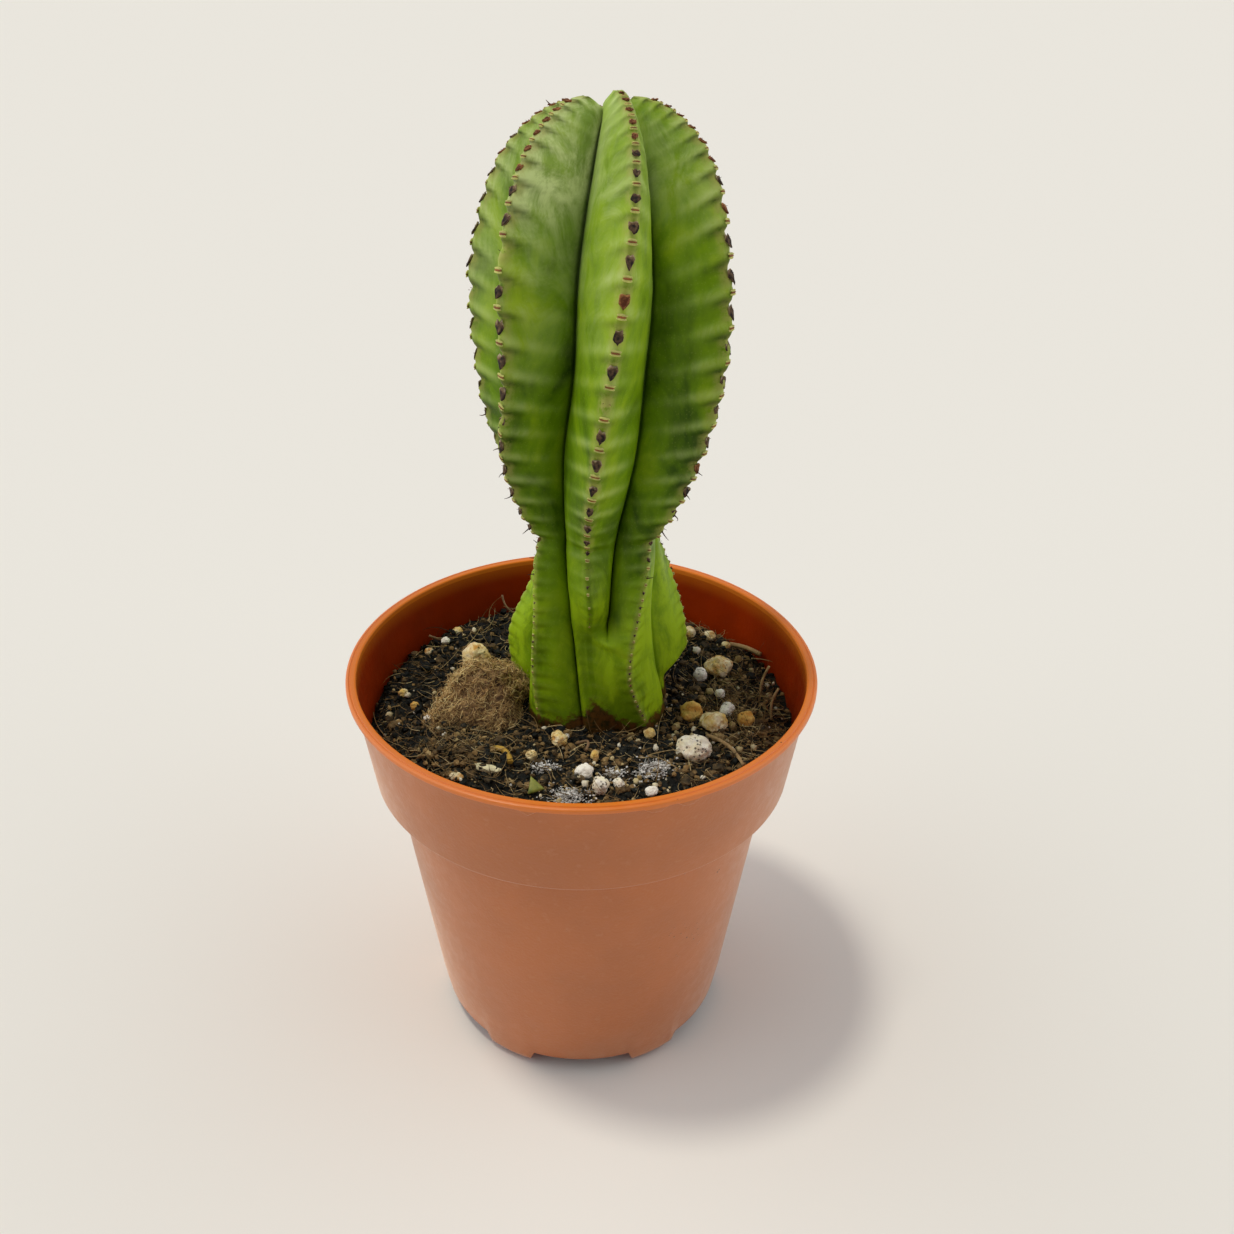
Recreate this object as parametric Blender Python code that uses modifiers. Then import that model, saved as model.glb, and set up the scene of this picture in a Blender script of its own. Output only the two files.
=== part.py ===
"""Potted euphorbia: a ribbed, club-shaped succulent in a round plastic nursery pot.

Metres, +Z up. The origin is on the pot's axis, at the level that its feet stand on.
A bearing is measured round the plant, in degrees: 0 is the front (-Y) and 90 is the right (+X).
"""

import math
from random import Random

import bmesh
import bpy
from mathutils import Matrix, Vector, noise

# Pot
POT_HEIGHT = 0.0945
RIM_RADIUS = 0.0525
RIM_DEPTH = 0.0012
RIM_OVERHANG = 0.0015
WALL = 0.0008
FLOOR_THICKNESS = 0.0010
COLLAR_DEPTH = 0.0247
COLLAR_TAPER = 0.0031
COLLAR_STEP = 0.0043
BODY_TAPER = 0.0091
FOOT_CORNER = 0.0032
FOOT_HEIGHT = 0.0026
FOOT_WIDTH = 0.0020
NOTCH_COUNT = 6
NOTCH_WIDTH = 0.0220
NOTCH_HEIGHT = 0.0021
DRAIN_HOLE_RADIUS = 0.0035
DRAIN_CIRCLE_RADIUS = 0.0210
CENTRE_HOLE_RADIUS = 0.0050
POT_SEGMENTS = 48

# Potting mix
HEADSPACE = 0.0110
EDGE_SLUMP = 0.0035
EDGE_SLUMP_START = 0.80
MIX_MOUND = 0.0018
MIX_RELIEF = 0.0009
COARSE_LUMPS = 95.0
FINE_LUMPS = 230.0
MIX_SEGMENTS = 36
MIX_RINGS = 9
SEAT_GAP = 0.0003
POCKET_GAP = 0.00035

# Euphorbia
STEM_HEIGHT = 0.1290
STEM_PLACE = (0.0042, 0.0060)
BELLY_RADIUS = 0.0276
BELLY_HEIGHT = 0.0950
BELLY_GROOVE = 0.0143
WAIST_RADIUS = 0.0149
WAIST_HEIGHT = 0.0430
WAIST_GROOVE = 0.0108
BASE_RADIUS = 0.0205
BASE_GROOVE = 0.0168
CROWN_RADIUS = 0.0050
CROWN_DIP = 0.0040
CROWN_LEAN = 0.0008
SCALLOP_DEPTH = 0.0007
RING_STEP = 0.0031
NEW_RIB_HEIGHT = 0.0235
NEW_RIB_FACE = 1.04
FLANK_TURN = 0.45
FLANK_REACH = 0.42
ROOT_DEPTH = 0.0240
ROOT_RADIUS = 0.0050
ROOT_RINGS = 4
SEAT_GAP_SHARE = 1.6

# Clump of matted peat beside the stem
CLUMP_RADIUS = 0.0100
CLUMP_HALF_DEPTH = 0.0095
CLUMP_HALF_HEIGHT = 0.0075
CLUMP_BEARING = -74.0
CLUMP_NESTLE = 0.0032
CLUMP_RISE = 0.0020
CLUMP_TURN = 0.2
CLUMP_UNEVENNESS = 0.12

# The six ribs: bearing and reach of each crest, at these shares of the stem's height above the mix
RIB_SHARES = (0.0, 0.18, 0.33, 0.50, 0.73, 1.0)
RIB_BEARINGS = {
    "far_left": (-95, -96, -100, -106, -99, -100),
    "left": (-50, -56, -61, -57, -48, -53),
    "front": (-6, -9, -10, 0, 9, 13),
    "right": (38, 30, 46, 62, 70, 75),
    "far_right": (98, 100, 110, 125, 130, 133),
    "back": (178, 182, 184, 187, 190, 191),
}
RIB_REACHES = {
    "far_left": (1.00, 1.03, 1.05, 1.04, 0.98, 1.00),
    "left": (1.00, 1.00, 1.02, 1.00, 0.98, 0.98),
    "front": (1.00, 1.00, 1.00, 1.00, 1.00, 1.00),
    "right": (1.00, 1.00, 1.00, 0.98, 0.95, 1.06),
    "far_right": (1.00, 1.02, 1.05, 1.03, 0.98, 0.95),
    "back": (1.00, 1.00, 1.00, 1.00, 1.00, 0.98),
}

# Grit lying on the mix: place as shares of the mix's radius, then length, width and height
GRIT = (
    (-0.52, 0.34, 0.0072, 0.0060, 0.0054),
    (0.67, 0.26, 0.0064, 0.0056, 0.0050),
    (0.46, -0.10, 0.0050, 0.0049, 0.0044),
    (0.56, -0.18, 0.0060, 0.0050, 0.0044),
    (0.50, -0.40, 0.0078, 0.0060, 0.0054),
    (0.76, -0.16, 0.0040, 0.0040, 0.0036),
    (0.68, -0.07, 0.0046, 0.0028, 0.0027),
    (0.66, 0.04, 0.0024, 0.0023, 0.0022),
    (0.58, 0.20, 0.0034, 0.0030, 0.0034),
    (0.08, -0.66, 0.0038, 0.0034, 0.0042),
    (0.01, -0.55, 0.0042, 0.0034, 0.0032),
    (0.16, -0.63, 0.0029, 0.0022, 0.0021),
    (0.30, -0.68, 0.0026, 0.0022, 0.0021),
    (-0.08, -0.27, 0.0044, 0.0032, 0.0030),
    (0.06, -0.42, 0.0022, 0.0020, 0.0020),
    (-0.22, -0.43, 0.0024, 0.0023, 0.0022),
    (0.31, -0.28, 0.0025, 0.0023, 0.0024),
    (0.53, 0.79, 0.0031, 0.0025, 0.0022),
    (0.55, 0.56, 0.0035, 0.0032, 0.0030),
    (0.65, 0.54, 0.0032, 0.0030, 0.0027),
    (0.73, 0.47, 0.0021, 0.0020, 0.0020),
    (-0.77, 0.49, 0.0022, 0.0020, 0.0020),
    (-0.69, 0.52, 0.0023, 0.0020, 0.0019),
    (-0.64, 0.63, 0.0030, 0.0024, 0.0021),
    (-0.85, 0.07, 0.0023, 0.0021, 0.0020),
    (-0.78, -0.05, 0.0021, 0.0020, 0.0021),
    (-0.70, -0.16, 0.0025, 0.0023, 0.0023),
    (-0.54, -0.59, 0.0029, 0.0021, 0.0020),
)
GRIT_SINK = 0.30
GRIT_SPACING = 0.0006
GRIT_UNEVENNESS = 0.22
GRIT_TURNS = 11
SETTLE_ROUNDS = 200

# Straws and roots: start and end as shares of the mix's radius, rise of the end, sag or bow, radius
STRAWS = (
    ("straw_01", (0.76, 0.53), (0.90, 0.41), 0.0006, 0.0004, 0.0006),
    ("straw_02", (0.85, 0.05), (0.89, 0.09), 0.0070, 0.0006, 0.0003),
    ("straw_03", (0.89, -0.09), (0.92, -0.04), 0.0066, 0.0008, 0.0003),
    ("straw_04", (0.57, -0.27), (0.71, -0.51), 0.0005, 0.0010, 0.0004),
    ("root_01", (-0.36, 0.84), (-0.42, 0.87), 0.0046, 0.0010, 0.0003),
    ("root_02", (-0.72, 0.58), (-0.77, 0.51), 0.0034, 0.0010, 0.0003),
    ("root_03", (-0.02, -0.33), (0.02, -0.41), 0.0010, 0.0016, 0.0003),
    ("bark_curl", (-0.43, -0.39), (-0.31, -0.51), 0.0012, 0.0016, 0.0007),
)
STRAW_POINTS = 7
STRAW_BURIED = 0.0030
STRAW_ARCH = 0.6
STRAW_GAP_SHARE = 1.3

SLIVER_PLACE = (-0.42, -0.53)
SLIVER_SIZE = (0.0072, 0.0020, 0.0016)
SLIVER_TURN = -0.25
SLIVER_RISE = 0.3
LEAF_PLACE = (-0.20, -0.67)
LEAF_LENGTH = 0.0046
LEAF_WIDTH = 0.0042
LEAF_THICKNESS = 0.0007
LEAF_RISE = 0.18
LEAF_LEAN = 35.0
LEAF_TWIST = 20.0

COLOURS = {
    "terracotta_plastic": (0.42, 0.14, 0.06, 1.0),
    "euphorbia_skin": (0.16, 0.27, 0.05, 1.0),
    "dark_peat": (0.018, 0.015, 0.011, 1.0),
    "matted_peat": (0.12, 0.075, 0.040, 1.0),
    "pumice": (0.62, 0.55, 0.36, 1.0),
    "dry_straw": (0.36, 0.26, 0.14, 1.0),
    "green_scrap": (0.24, 0.27, 0.05, 1.0),
}

mix_wall_clearance = WALL + SEAT_GAP
collar_top_radius = RIM_RADIUS - RIM_OVERHANG
collar_foot_radius = collar_top_radius - COLLAR_TAPER
body_top_radius = collar_foot_radius - COLLAR_STEP
body_foot_radius = body_top_radius - BODY_TAPER
ledge_height = POT_HEIGHT - COLLAR_DEPTH
mix_level = POT_HEIGHT - HEADSPACE


def clear_scene():
    for found in list(bpy.data.objects):
        bpy.data.objects.remove(found, do_unlink=True)


def new_collection(name):
    made = bpy.data.collections.new(name)
    bpy.context.scene.collection.children.link(made)
    return made


def material(name, roughness):
    made = bpy.data.materials.get(name)
    if made is None:
        made = bpy.data.materials.new(name)
        made.use_nodes = True
        shader = made.node_tree.nodes["Principled BSDF"]
        shader.inputs["Base Color"].default_value = COLOURS[name]
        shader.inputs["Roughness"].default_value = roughness
        shader.inputs["Metallic"].default_value = 0.0
    return made


def add_object(name, shape, collection, finish=None, sharp_degrees=40.0):
    """Makes an object from a bmesh, shaded smooth but for edges sharper than the angle."""
    mesh = bpy.data.meshes.new(name)
    shape.to_mesh(mesh)
    shape.free()
    mesh.shade_smooth()
    mesh.set_sharp_from_angle(angle=math.radians(sharp_degrees))
    made = bpy.data.objects.new(name, mesh)
    collection.objects.link(made)
    if finish:
        mesh.materials.append(finish)
    else:
        made.hide_render = True
        made.display_type = "WIRE"
    return made


def cut(target, cutter):
    modifier = target.modifiers.new("cut_" + cutter.name, "BOOLEAN")
    modifier.operation = "DIFFERENCE"
    modifier.solver = "EXACT"
    modifier.object = cutter


def on_bearing(bearing, distance):
    """The x and y steps for going that far on a bearing, given in degrees."""
    angle = math.radians(bearing)
    return distance * math.sin(angle), -distance * math.cos(angle)


def blend(start, end, share):
    return start + (end - start) * share


def smooth_step(low, high, value):
    share = min(1.0, max(0.0, (value - low) / (high - low)))
    return share * share * (3.0 - 2.0 * share)


def fillet(before, corner, after, radius, steps):
    """Points of an arc that rounds the corner between two straight runs of an outline."""
    corner = Vector(corner)
    to_before = (Vector(before) - corner).normalized()
    to_after = (Vector(after) - corner).normalized()
    half_angle = to_before.angle(to_after) / 2.0
    to_centre = (to_before + to_after).normalized()
    centre = corner + to_centre * (radius / math.sin(half_angle))
    first = corner + to_before * (radius / math.tan(half_angle)) - centre
    last = corner + to_after * (radius / math.tan(half_angle)) - centre
    begin = math.atan2(first.y, first.x)
    sweep = (math.atan2(last.y, last.x) - begin + math.pi) % math.tau - math.pi
    points = []
    for step in range(steps + 1):
        angle = begin + sweep * step / steps
        points.append((centre.x + radius * math.cos(angle), centre.y + radius * math.sin(angle)))
    return points


# ---- pot ----


def pot_inner_radius(height):
    """Radius of the pot's inner wall at a height above its feet."""
    inner_ledge = ledge_height + WALL
    if height >= inner_ledge:
        share = (POT_HEIGHT - height) / COLLAR_DEPTH
        return collar_top_radius - COLLAR_TAPER * share - WALL
    share = (ledge_height - height) / ledge_height
    return body_top_radius - BODY_TAPER * share - WALL


def pot_profile():
    """Half section of the pot: up its inside from the centre of the floor, then down its outside."""
    inner_floor = FOOT_HEIGHT + FLOOR_THICKNESS
    inner_ledge = ledge_height + WALL
    inner_corner = (pot_inner_radius(inner_floor), inner_floor)
    inner_body_top = (pot_inner_radius(ledge_height), inner_ledge)
    outer_corner = (body_foot_radius, 0.0)
    outer_body_top = (body_top_radius, ledge_height)
    foot_inside = body_foot_radius - FOOT_CORNER - FOOT_WIDTH
    points = [(0.0, inner_floor)]
    points += fillet((0.0, inner_floor), inner_corner, inner_body_top, FOOT_CORNER - WALL, 4)
    points.append(inner_body_top)
    points.append((pot_inner_radius(inner_ledge), inner_ledge))
    points.append((pot_inner_radius(POT_HEIGHT), POT_HEIGHT))
    points.append((RIM_RADIUS, POT_HEIGHT))
    points.append((RIM_RADIUS, POT_HEIGHT - RIM_DEPTH))
    points.append((collar_top_radius, POT_HEIGHT - RIM_DEPTH))
    points.append((collar_foot_radius, ledge_height))
    points.append(outer_body_top)
    points += fillet(outer_body_top, outer_corner, (0.0, 0.0), FOOT_CORNER, 5)
    points.append((foot_inside, 0.0))
    points.append((foot_inside, FOOT_HEIGHT))
    points.append((0.0, FOOT_HEIGHT))
    return points


def turned(name, points, collection, finish):
    """An object turned from a half section with a Screw modifier."""
    shape = bmesh.new()
    previous = None
    for radius, height in points:
        vertex = shape.verts.new((radius, 0.0, height))
        if previous:
            shape.edges.new((previous, vertex))
        previous = vertex
    made = add_object(name, shape, collection, finish)
    screw = made.modifiers.new("turn", "SCREW")
    screw.steps = POT_SEGMENTS
    screw.render_steps = POT_SEGMENTS
    screw.use_merge_vertices = True
    screw.merge_threshold = 0.00001
    screw.use_smooth_shade = True
    return made


def build_pot(parts, cutters):
    pot = turned("pot", pot_profile(), parts, material("terracotta_plastic", 0.45))
    notches = bmesh.new()
    notch_reach = body_foot_radius - FOOT_CORNER - FOOT_WIDTH / 2.0
    notch_length = (FOOT_CORNER + FOOT_WIDTH) * 2.0
    size = Matrix.Diagonal((NOTCH_WIDTH, notch_length, NOTCH_HEIGHT * 2.0, 1.0))
    outward = Matrix.Translation((0.0, -notch_reach, 0.0))
    for index in range(NOTCH_COUNT):
        turn = Matrix.Rotation(math.tau * index / NOTCH_COUNT, 4, "Z")
        bmesh.ops.create_cube(notches, size=1.0, matrix=turn @ outward @ size)
    cut(pot, add_object("foot_notches", notches, cutters))
    holes = bmesh.new()
    places = [(0.0, 0.0, CENTRE_HOLE_RADIUS)]
    for index in range(NOTCH_COUNT):
        x, y = on_bearing(360.0 * index / NOTCH_COUNT, DRAIN_CIRCLE_RADIUS)
        places.append((x, y, DRAIN_HOLE_RADIUS))
    for x, y, radius in places:
        bmesh.ops.create_cone(
            holes,
            cap_ends=True,
            segments=16,
            radius1=radius,
            radius2=radius,
            depth=(FOOT_HEIGHT + FLOOR_THICKNESS) * 3.0,
            matrix=Matrix.Translation((x, y, FOOT_HEIGHT + FLOOR_THICKNESS / 2.0)),
        )
    cut(pot, add_object("drain_holes", holes, cutters))
    return pot


# ---- euphorbia ----


def crest_radius(height):
    """Radius out to a rib's crest, at a height above the mix."""
    if height < WAIST_HEIGHT:
        share = max(0.0, height) / WAIST_HEIGHT
        return BASE_RADIUS + (WAIST_RADIUS - BASE_RADIUS) * share ** 2.8
    share = min(1.0, (height - WAIST_HEIGHT) / (BELLY_HEIGHT - WAIST_HEIGHT))
    return WAIST_RADIUS + (BELLY_RADIUS - WAIST_RADIUS) * math.sin(share ** 0.75 * math.pi / 2.0)


def groove_radius(height):
    """Radius in to the groove between two ribs, at a height above the mix."""
    if height < WAIST_HEIGHT:
        share = 1.0 - max(0.0, height) / WAIST_HEIGHT
        return WAIST_GROOVE + (BASE_GROOVE - WAIST_GROOVE) * share ** 1.6
    share = min(1.0, (height - WAIST_HEIGHT) / (BELLY_HEIGHT - WAIST_HEIGHT))
    return WAIST_GROOVE + (BELLY_GROOVE - WAIST_GROOVE) * math.sin(share * math.pi / 2.0)


def dome(share):
    """Radius left at a share of the way up the blunt dome above the belly."""
    return math.sqrt(1.0 - min(1.0, share) ** 1.5)


def along_stem(table, height):
    """The values of a table of ribs at a height above the mix, in order round the stem."""
    place = min(max(height / STEM_HEIGHT, RIB_SHARES[0]), RIB_SHARES[-1])
    upper = next(index for index in range(1, len(RIB_SHARES)) if place <= RIB_SHARES[index])
    share = smooth_step(RIB_SHARES[upper - 1], RIB_SHARES[upper], place)
    return [blend(stations[upper - 1], stations[upper], share) for stations in table.values()]


def stem_stations():
    """Rings up the stem: height for the ribs, crest radius and height, groove radius and height."""
    stations = []
    for step in range(ROOT_RINGS, 0, -1):
        share = step / ROOT_RINGS
        depth = -ROOT_DEPTH * share
        radius = ROOT_RADIUS + (BASE_GROOVE - ROOT_RADIUS) * math.cos(share * math.pi / 2.0)
        stations.append((depth, radius, depth, radius, depth))
    body_rings = round(BELLY_HEIGHT / RING_STEP)
    for ring in range(body_rings):
        height = BELLY_HEIGHT * ring / body_rings
        notch = SCALLOP_DEPTH if ring % 2 else 0.0
        stations.append((height, crest_radius(height) - notch, height, groove_radius(height), height))
    dome_height = STEM_HEIGHT - BELLY_HEIGHT
    groove_end = CROWN_RADIUS / 3.0
    dome_rings = round(dome_height * 1.3 / RING_STEP)
    for ring in range(dome_rings + 1):
        rise = math.sin(math.pi / 2.0 * ring / dome_rings)
        notch = SCALLOP_DEPTH if (ring + body_rings) % 2 and ring < dome_rings else 0.0
        crest = CROWN_RADIUS + (BELLY_RADIUS - CROWN_RADIUS) * dome(rise) - notch
        groove = groove_end + (BELLY_GROOVE - groove_end) * dome(rise)
        crest_height = BELLY_HEIGHT + dome_height * rise
        groove_height = BELLY_HEIGHT + (dome_height - CROWN_DIP) * rise
        stations.append((crest_height, crest, crest_height, groove, groove_height))
    middle = STEM_HEIGHT - CROWN_DIP
    inner_crest = STEM_HEIGHT - CROWN_DIP * 0.3
    stations.append((STEM_HEIGHT, CROWN_RADIUS / 2.0, inner_crest, groove_end * 0.6, middle))
    return stations


def stem_ring(station, extra):
    """Points round the stem at a station: crest, flank, groove and flank for each rib."""
    height, crest, crest_height, groove, groove_height = station
    bearings = along_stem(RIB_BEARINGS, height)
    crests = [crest * reach for reach in along_stem(RIB_REACHES, height)]
    if height < 0.0:
        crests = [crest] * len(bearings)
    front = list(RIB_BEARINGS).index("front")
    grown = smooth_step(NEW_RIB_HEIGHT - RING_STEP / 2.0, NEW_RIB_HEIGHT + RING_STEP, height)
    face = groove * NEW_RIB_FACE
    crests[front] = blend(face, crests[front], grown * smooth_step(0.0, WAIST_HEIGHT, height))
    lean = CROWN_LEAN * smooth_step(BELLY_HEIGHT, STEM_HEIGHT, height)
    flank_height = (crest_height + groove_height) / 2.0
    points = []
    for index, bearing in enumerate(bearings):
        after = (index + 1) % len(bearings)
        next_bearing = bearings[after]
        if next_bearing < bearing:
            next_bearing += 360.0
        low = blend(face, groove, grown) if index == front else groove
        middle = (bearing + next_bearing) / 2.0
        near_flank = blend(low, crests[index], FLANK_REACH)
        far_flank = blend(low, crests[after], FLANK_REACH)
        points.append((bearing, crests[index], crest_height))
        points.append((blend(bearing, middle, FLANK_TURN), near_flank, flank_height))
        points.append((middle, low, groove_height))
        points.append((blend(next_bearing, middle, FLANK_TURN), far_flank, flank_height))
    ring = []
    for bearing, radius, rise in points:
        x, y = on_bearing(bearing, radius + extra)
        ring.append((STEM_PLACE[0] + lean + x, STEM_PLACE[1] + y, mix_level + rise))
    return ring


def loft(rings):
    """A closed solid through rings of equal point counts, with fans to a point at both ends."""
    shape = bmesh.new()
    rows = [[shape.verts.new(point) for point in ring] for ring in rings]
    count = len(rings[0])
    for lower, upper in zip(rows[:-1], rows[1:]):
        for index in range(count):
            after = (index + 1) % count
            shape.faces.new((lower[index], lower[after], upper[after], upper[index]))
    for row, upside_down in ((rows[0], True), (rows[-1], False)):
        middle = Vector((0.0, 0.0, 0.0))
        for vertex in row:
            middle += vertex.co / count
        centre = shape.verts.new(middle)
        for index in range(count):
            pair = (row[index], row[(index + 1) % count])
            if upside_down:
                pair = (pair[1], pair[0])
            shape.faces.new((pair[0], pair[1], centre))
    bmesh.ops.triangulate(shape, faces=shape.faces, quad_method="FIXED")
    return shape


def build_stem(parts):
    rings = [stem_ring(station, 0.0) for station in stem_stations()]
    return add_object("euphorbia_stem", loft(rings), parts, material("euphorbia_skin", 0.5), 60.0)


def stem_seat_cutter(cutters):
    """The stem's foot and root, larger all round by the seat's gap, up to well above the mix."""
    gap = POCKET_GAP * SEAT_GAP_SHARE
    stations = [station for station in stem_stations() if station[2] <= WAIST_HEIGHT / 2.0]
    rings = [stem_ring(station, gap) for station in stations]
    lowest = [(x, y, z - gap) for x, y, z in rings[0]]
    return add_object("stem_seat", loft([lowest] + rings), cutters)


# ---- potting mix and what lies on it ----


def mix_radius():
    return pot_inner_radius(mix_level) - SEAT_GAP


def mix_height(x, y):
    """Height of the mix's uneven top at a place."""
    reach = math.hypot(x, y) / mix_radius()
    slump = EDGE_SLUMP * smooth_step(EDGE_SLUMP_START, 1.0, reach)
    mound = MIX_MOUND * smooth_step(-0.2, 1.0, y / mix_radius())
    coarse = noise.noise(Vector((x, y, 0.04)) * COARSE_LUMPS)
    fine = noise.noise(Vector((x, y, 0.04)) * FINE_LUMPS)
    return mix_level + mound - slump + MIX_RELIEF * (coarse + fine / 2.0)


def build_mix(parts):
    """The root ball: turned to the pot's inside, with an uneven top."""
    bottom = FOOT_HEIGHT + FLOOR_THICKNESS + SEAT_GAP
    ledge = ledge_height + mix_wall_clearance
    edge_height = mix_level - EDGE_SLUMP
    corner = (pot_inner_radius(bottom) - SEAT_GAP, bottom)
    side_top = (pot_inner_radius(ledge_height) - SEAT_GAP, ledge)
    profile = [(0.0, bottom)]
    profile += fillet((0.0, bottom), corner, side_top, FOOT_CORNER, 3)
    profile.append(side_top)
    profile.append((pot_inner_radius(ledge) - SEAT_GAP, ledge))
    profile.append((pot_inner_radius(edge_height) - SEAT_GAP, edge_height))
    surface_start = len(profile)
    for ring in range(1, MIX_RINGS + 1):
        share = 1.0 - ring / MIX_RINGS
        profile.append(((mix_radius() - EDGE_SLUMP / 2.0) * share, mix_level))
    shape = bmesh.new()
    on_top = shape.verts.layers.int.new("on_top")
    vertices = [shape.verts.new((radius, 0.0, height)) for radius, height in profile]
    edges = [shape.edges.new(pair) for pair in zip(vertices[:-1], vertices[1:])]
    for index, vertex in enumerate(vertices):
        vertex[on_top] = 1 if index >= surface_start else 0
    bmesh.ops.spin(
        shape,
        geom=vertices + edges,
        cent=(0.0, 0.0, 0.0),
        axis=(0.0, 0.0, 1.0),
        angle=math.tau,
        steps=MIX_SEGMENTS,
        use_merge=True,
    )
    bmesh.ops.remove_doubles(shape, verts=shape.verts, dist=0.00001)
    for vertex in shape.verts:
        if vertex[on_top]:
            vertex.co.z = mix_height(vertex.co.x, vertex.co.y)
    bmesh.ops.recalc_face_normals(shape, faces=shape.faces)
    return add_object("potting_mix", shape, parts, material("dark_peat", 0.9), 60.0)


def clump_place():
    reach = BASE_RADIUS + CLUMP_RADIUS - CLUMP_NESTLE
    x, y = on_bearing(CLUMP_BEARING, reach)
    return STEM_PLACE[0] + x, STEM_PLACE[1] + y


def lump(place, size, turn, unevenness, seed, extra, detail=2):
    """An uneven rounded body; extra makes it larger all round."""
    shape = bmesh.new()
    bmesh.ops.create_icosphere(shape, subdivisions=detail, radius=1.0)
    spin = Matrix.Rotation(turn, 3, "Z")
    half = Vector(size) / 2.0
    for vertex in shape.verts:
        direction = vertex.co.normalized()
        swell = 1.0 + unevenness * noise.noise(direction * 1.7 + Vector((seed * 7.3, seed * 3.1, 0.0)))
        body = Matrix.Diagonal(half) @ direction * swell
        vertex.co = spin @ (body + direction * extra) + Vector(place)
    return shape


def straw_ends(start, end):
    radius = mix_radius()
    return Vector((start[0] * radius, start[1] * radius)), Vector((end[0] * radius, end[1] * radius))


def settle_grit():
    """Places of the grit, moved apart where pieces, the stem, the clump or the wall would touch."""
    radius = mix_radius()
    stem = Vector(STEM_PLACE)
    clump = Vector(clump_place())
    bars = [(*straw_ends(start, end), thick) for _, start, end, _, _, thick in STRAWS]
    sliver = Vector(SLIVER_PLACE) * radius
    leaf = Vector(LEAF_PLACE) * radius
    fixed = [
        (stem, BASE_RADIUS),
        (clump, CLUMP_RADIUS),
        (sliver, SLIVER_SIZE[0] / 2.0),
        (leaf, LEAF_LENGTH / 2.0),
    ]
    places = [Vector((x, y)) * radius for x, y, *_ in GRIT]
    reach = [length / 2.0 for _, _, length, _, _ in GRIT]
    for _ in range(SETTLE_ROUNDS):
        for index, place in enumerate(places):
            for centre, size in fixed:
                push(place, centre, size + reach[index] + GRIT_SPACING)
            for start, end, thick in bars:
                push(place, nearest_on(start, end, place), thick + reach[index] + GRIT_SPACING)
            for other in range(index):
                apart = place - places[other]
                short = reach[index] + reach[other] + GRIT_SPACING - apart.length
                if short > 0.0:
                    step = apart.normalized() * (short / 2.0)
                    place += step
                    places[other] -= step
            limit = radius - EDGE_SLUMP / 2.0 - reach[index]
            if place.length > limit:
                place *= limit / place.length
    return places


def push(place, centre, least):
    apart = place - centre
    if apart.length < least:
        place += apart.normalized() * (least - apart.length)


def nearest_on(start, end, place):
    along = end - start
    share = min(1.0, max(0.0, (place - start).dot(along) / along.length_squared))
    return start + along * share


def build_grit(parts, cutters):
    finish = material("pumice", 0.85)
    turns = Random(GRIT_TURNS)
    pockets = []
    for index, place in enumerate(settle_grit()):
        name = f"pumice_{index + 1:02d}"
        size = GRIT[index][2:]
        centre = (place.x, place.y, mix_height(place.x, place.y) + size[2] * (0.5 - GRIT_SINK))
        turn = turns.uniform(0.0, math.tau)
        stone = lump(centre, size, turn, GRIT_UNEVENNESS, index + 1, 0.0)
        add_object(name, stone, parts, finish, 60.0)
        pocket = lump(centre, size, turn, GRIT_UNEVENNESS, index + 1, POCKET_GAP)
        pockets.append(add_object(name + "_pocket", pocket, cutters))
    return pockets


def build_clump(parts, cutters):
    size = (CLUMP_RADIUS * 2.0, CLUMP_HALF_DEPTH * 2.0, CLUMP_HALF_HEIGHT * 2.0)
    centre = (*clump_place(), mix_level + CLUMP_RISE)
    clump = lump(centre, size, CLUMP_TURN, CLUMP_UNEVENNESS, 41, 0.0, 3)
    add_object("peat_clump", clump, parts, material("matted_peat", 0.95), 60.0)
    pocket = lump(centre, size, CLUMP_TURN, CLUMP_UNEVENNESS, 41, POCKET_GAP, 3)
    return add_object("peat_clump_pocket", pocket, cutters)


def tube(points, radius, collection, name, finish):
    """A closed tube along the points, made as a bevelled curve and turned into a mesh."""
    curve = bpy.data.curves.new(name + "_line", "CURVE")
    curve.dimensions = "3D"
    curve.bevel_depth = radius
    curve.bevel_resolution = 1
    curve.use_fill_caps = True
    spline = curve.splines.new("POLY")
    spline.points.add(len(points) - 1)
    for index, point in enumerate(points):
        spline.points[index].co = (*point, 1.0)
    line = bpy.data.objects.new(name + "_line", curve)
    collection.objects.link(line)
    evaluated = line.evaluated_get(bpy.context.evaluated_depsgraph_get())
    mesh = bpy.data.meshes.new_from_object(evaluated)
    shape = bmesh.new()
    shape.from_mesh(mesh)
    bpy.data.meshes.remove(mesh)
    bpy.data.objects.remove(line, do_unlink=True)
    bmesh.ops.remove_doubles(shape, verts=shape.verts, dist=0.00001)
    bmesh.ops.recalc_face_normals(shape, faces=shape.faces)
    return add_object(name, shape, collection, finish, 50.0)


def straw_points(start, end, rise, bow, radius):
    """A bowed line from its foot in the mix to its raised end, no lower than the mix in between."""
    foot, tip = straw_ends(start, end)
    side = (tip - foot).orthogonal().normalized()
    points = []
    for step in range(STRAW_POINTS):
        share = step / (STRAW_POINTS - 1)
        arch = math.sin(share * math.pi)
        place = foot.lerp(tip, share) + side * (bow * arch)
        lift = rise * share + (bow if rise < STRAW_BURIED else 0.0) * arch * STRAW_ARCH
        points.append((place.x, place.y, mix_height(foot.x, foot.y) + radius * 0.5 + lift))
    if rise >= STRAW_BURIED:
        x, y, z = points[0]
        points.insert(0, (x, y, z - STRAW_BURIED))
    return points


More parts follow.
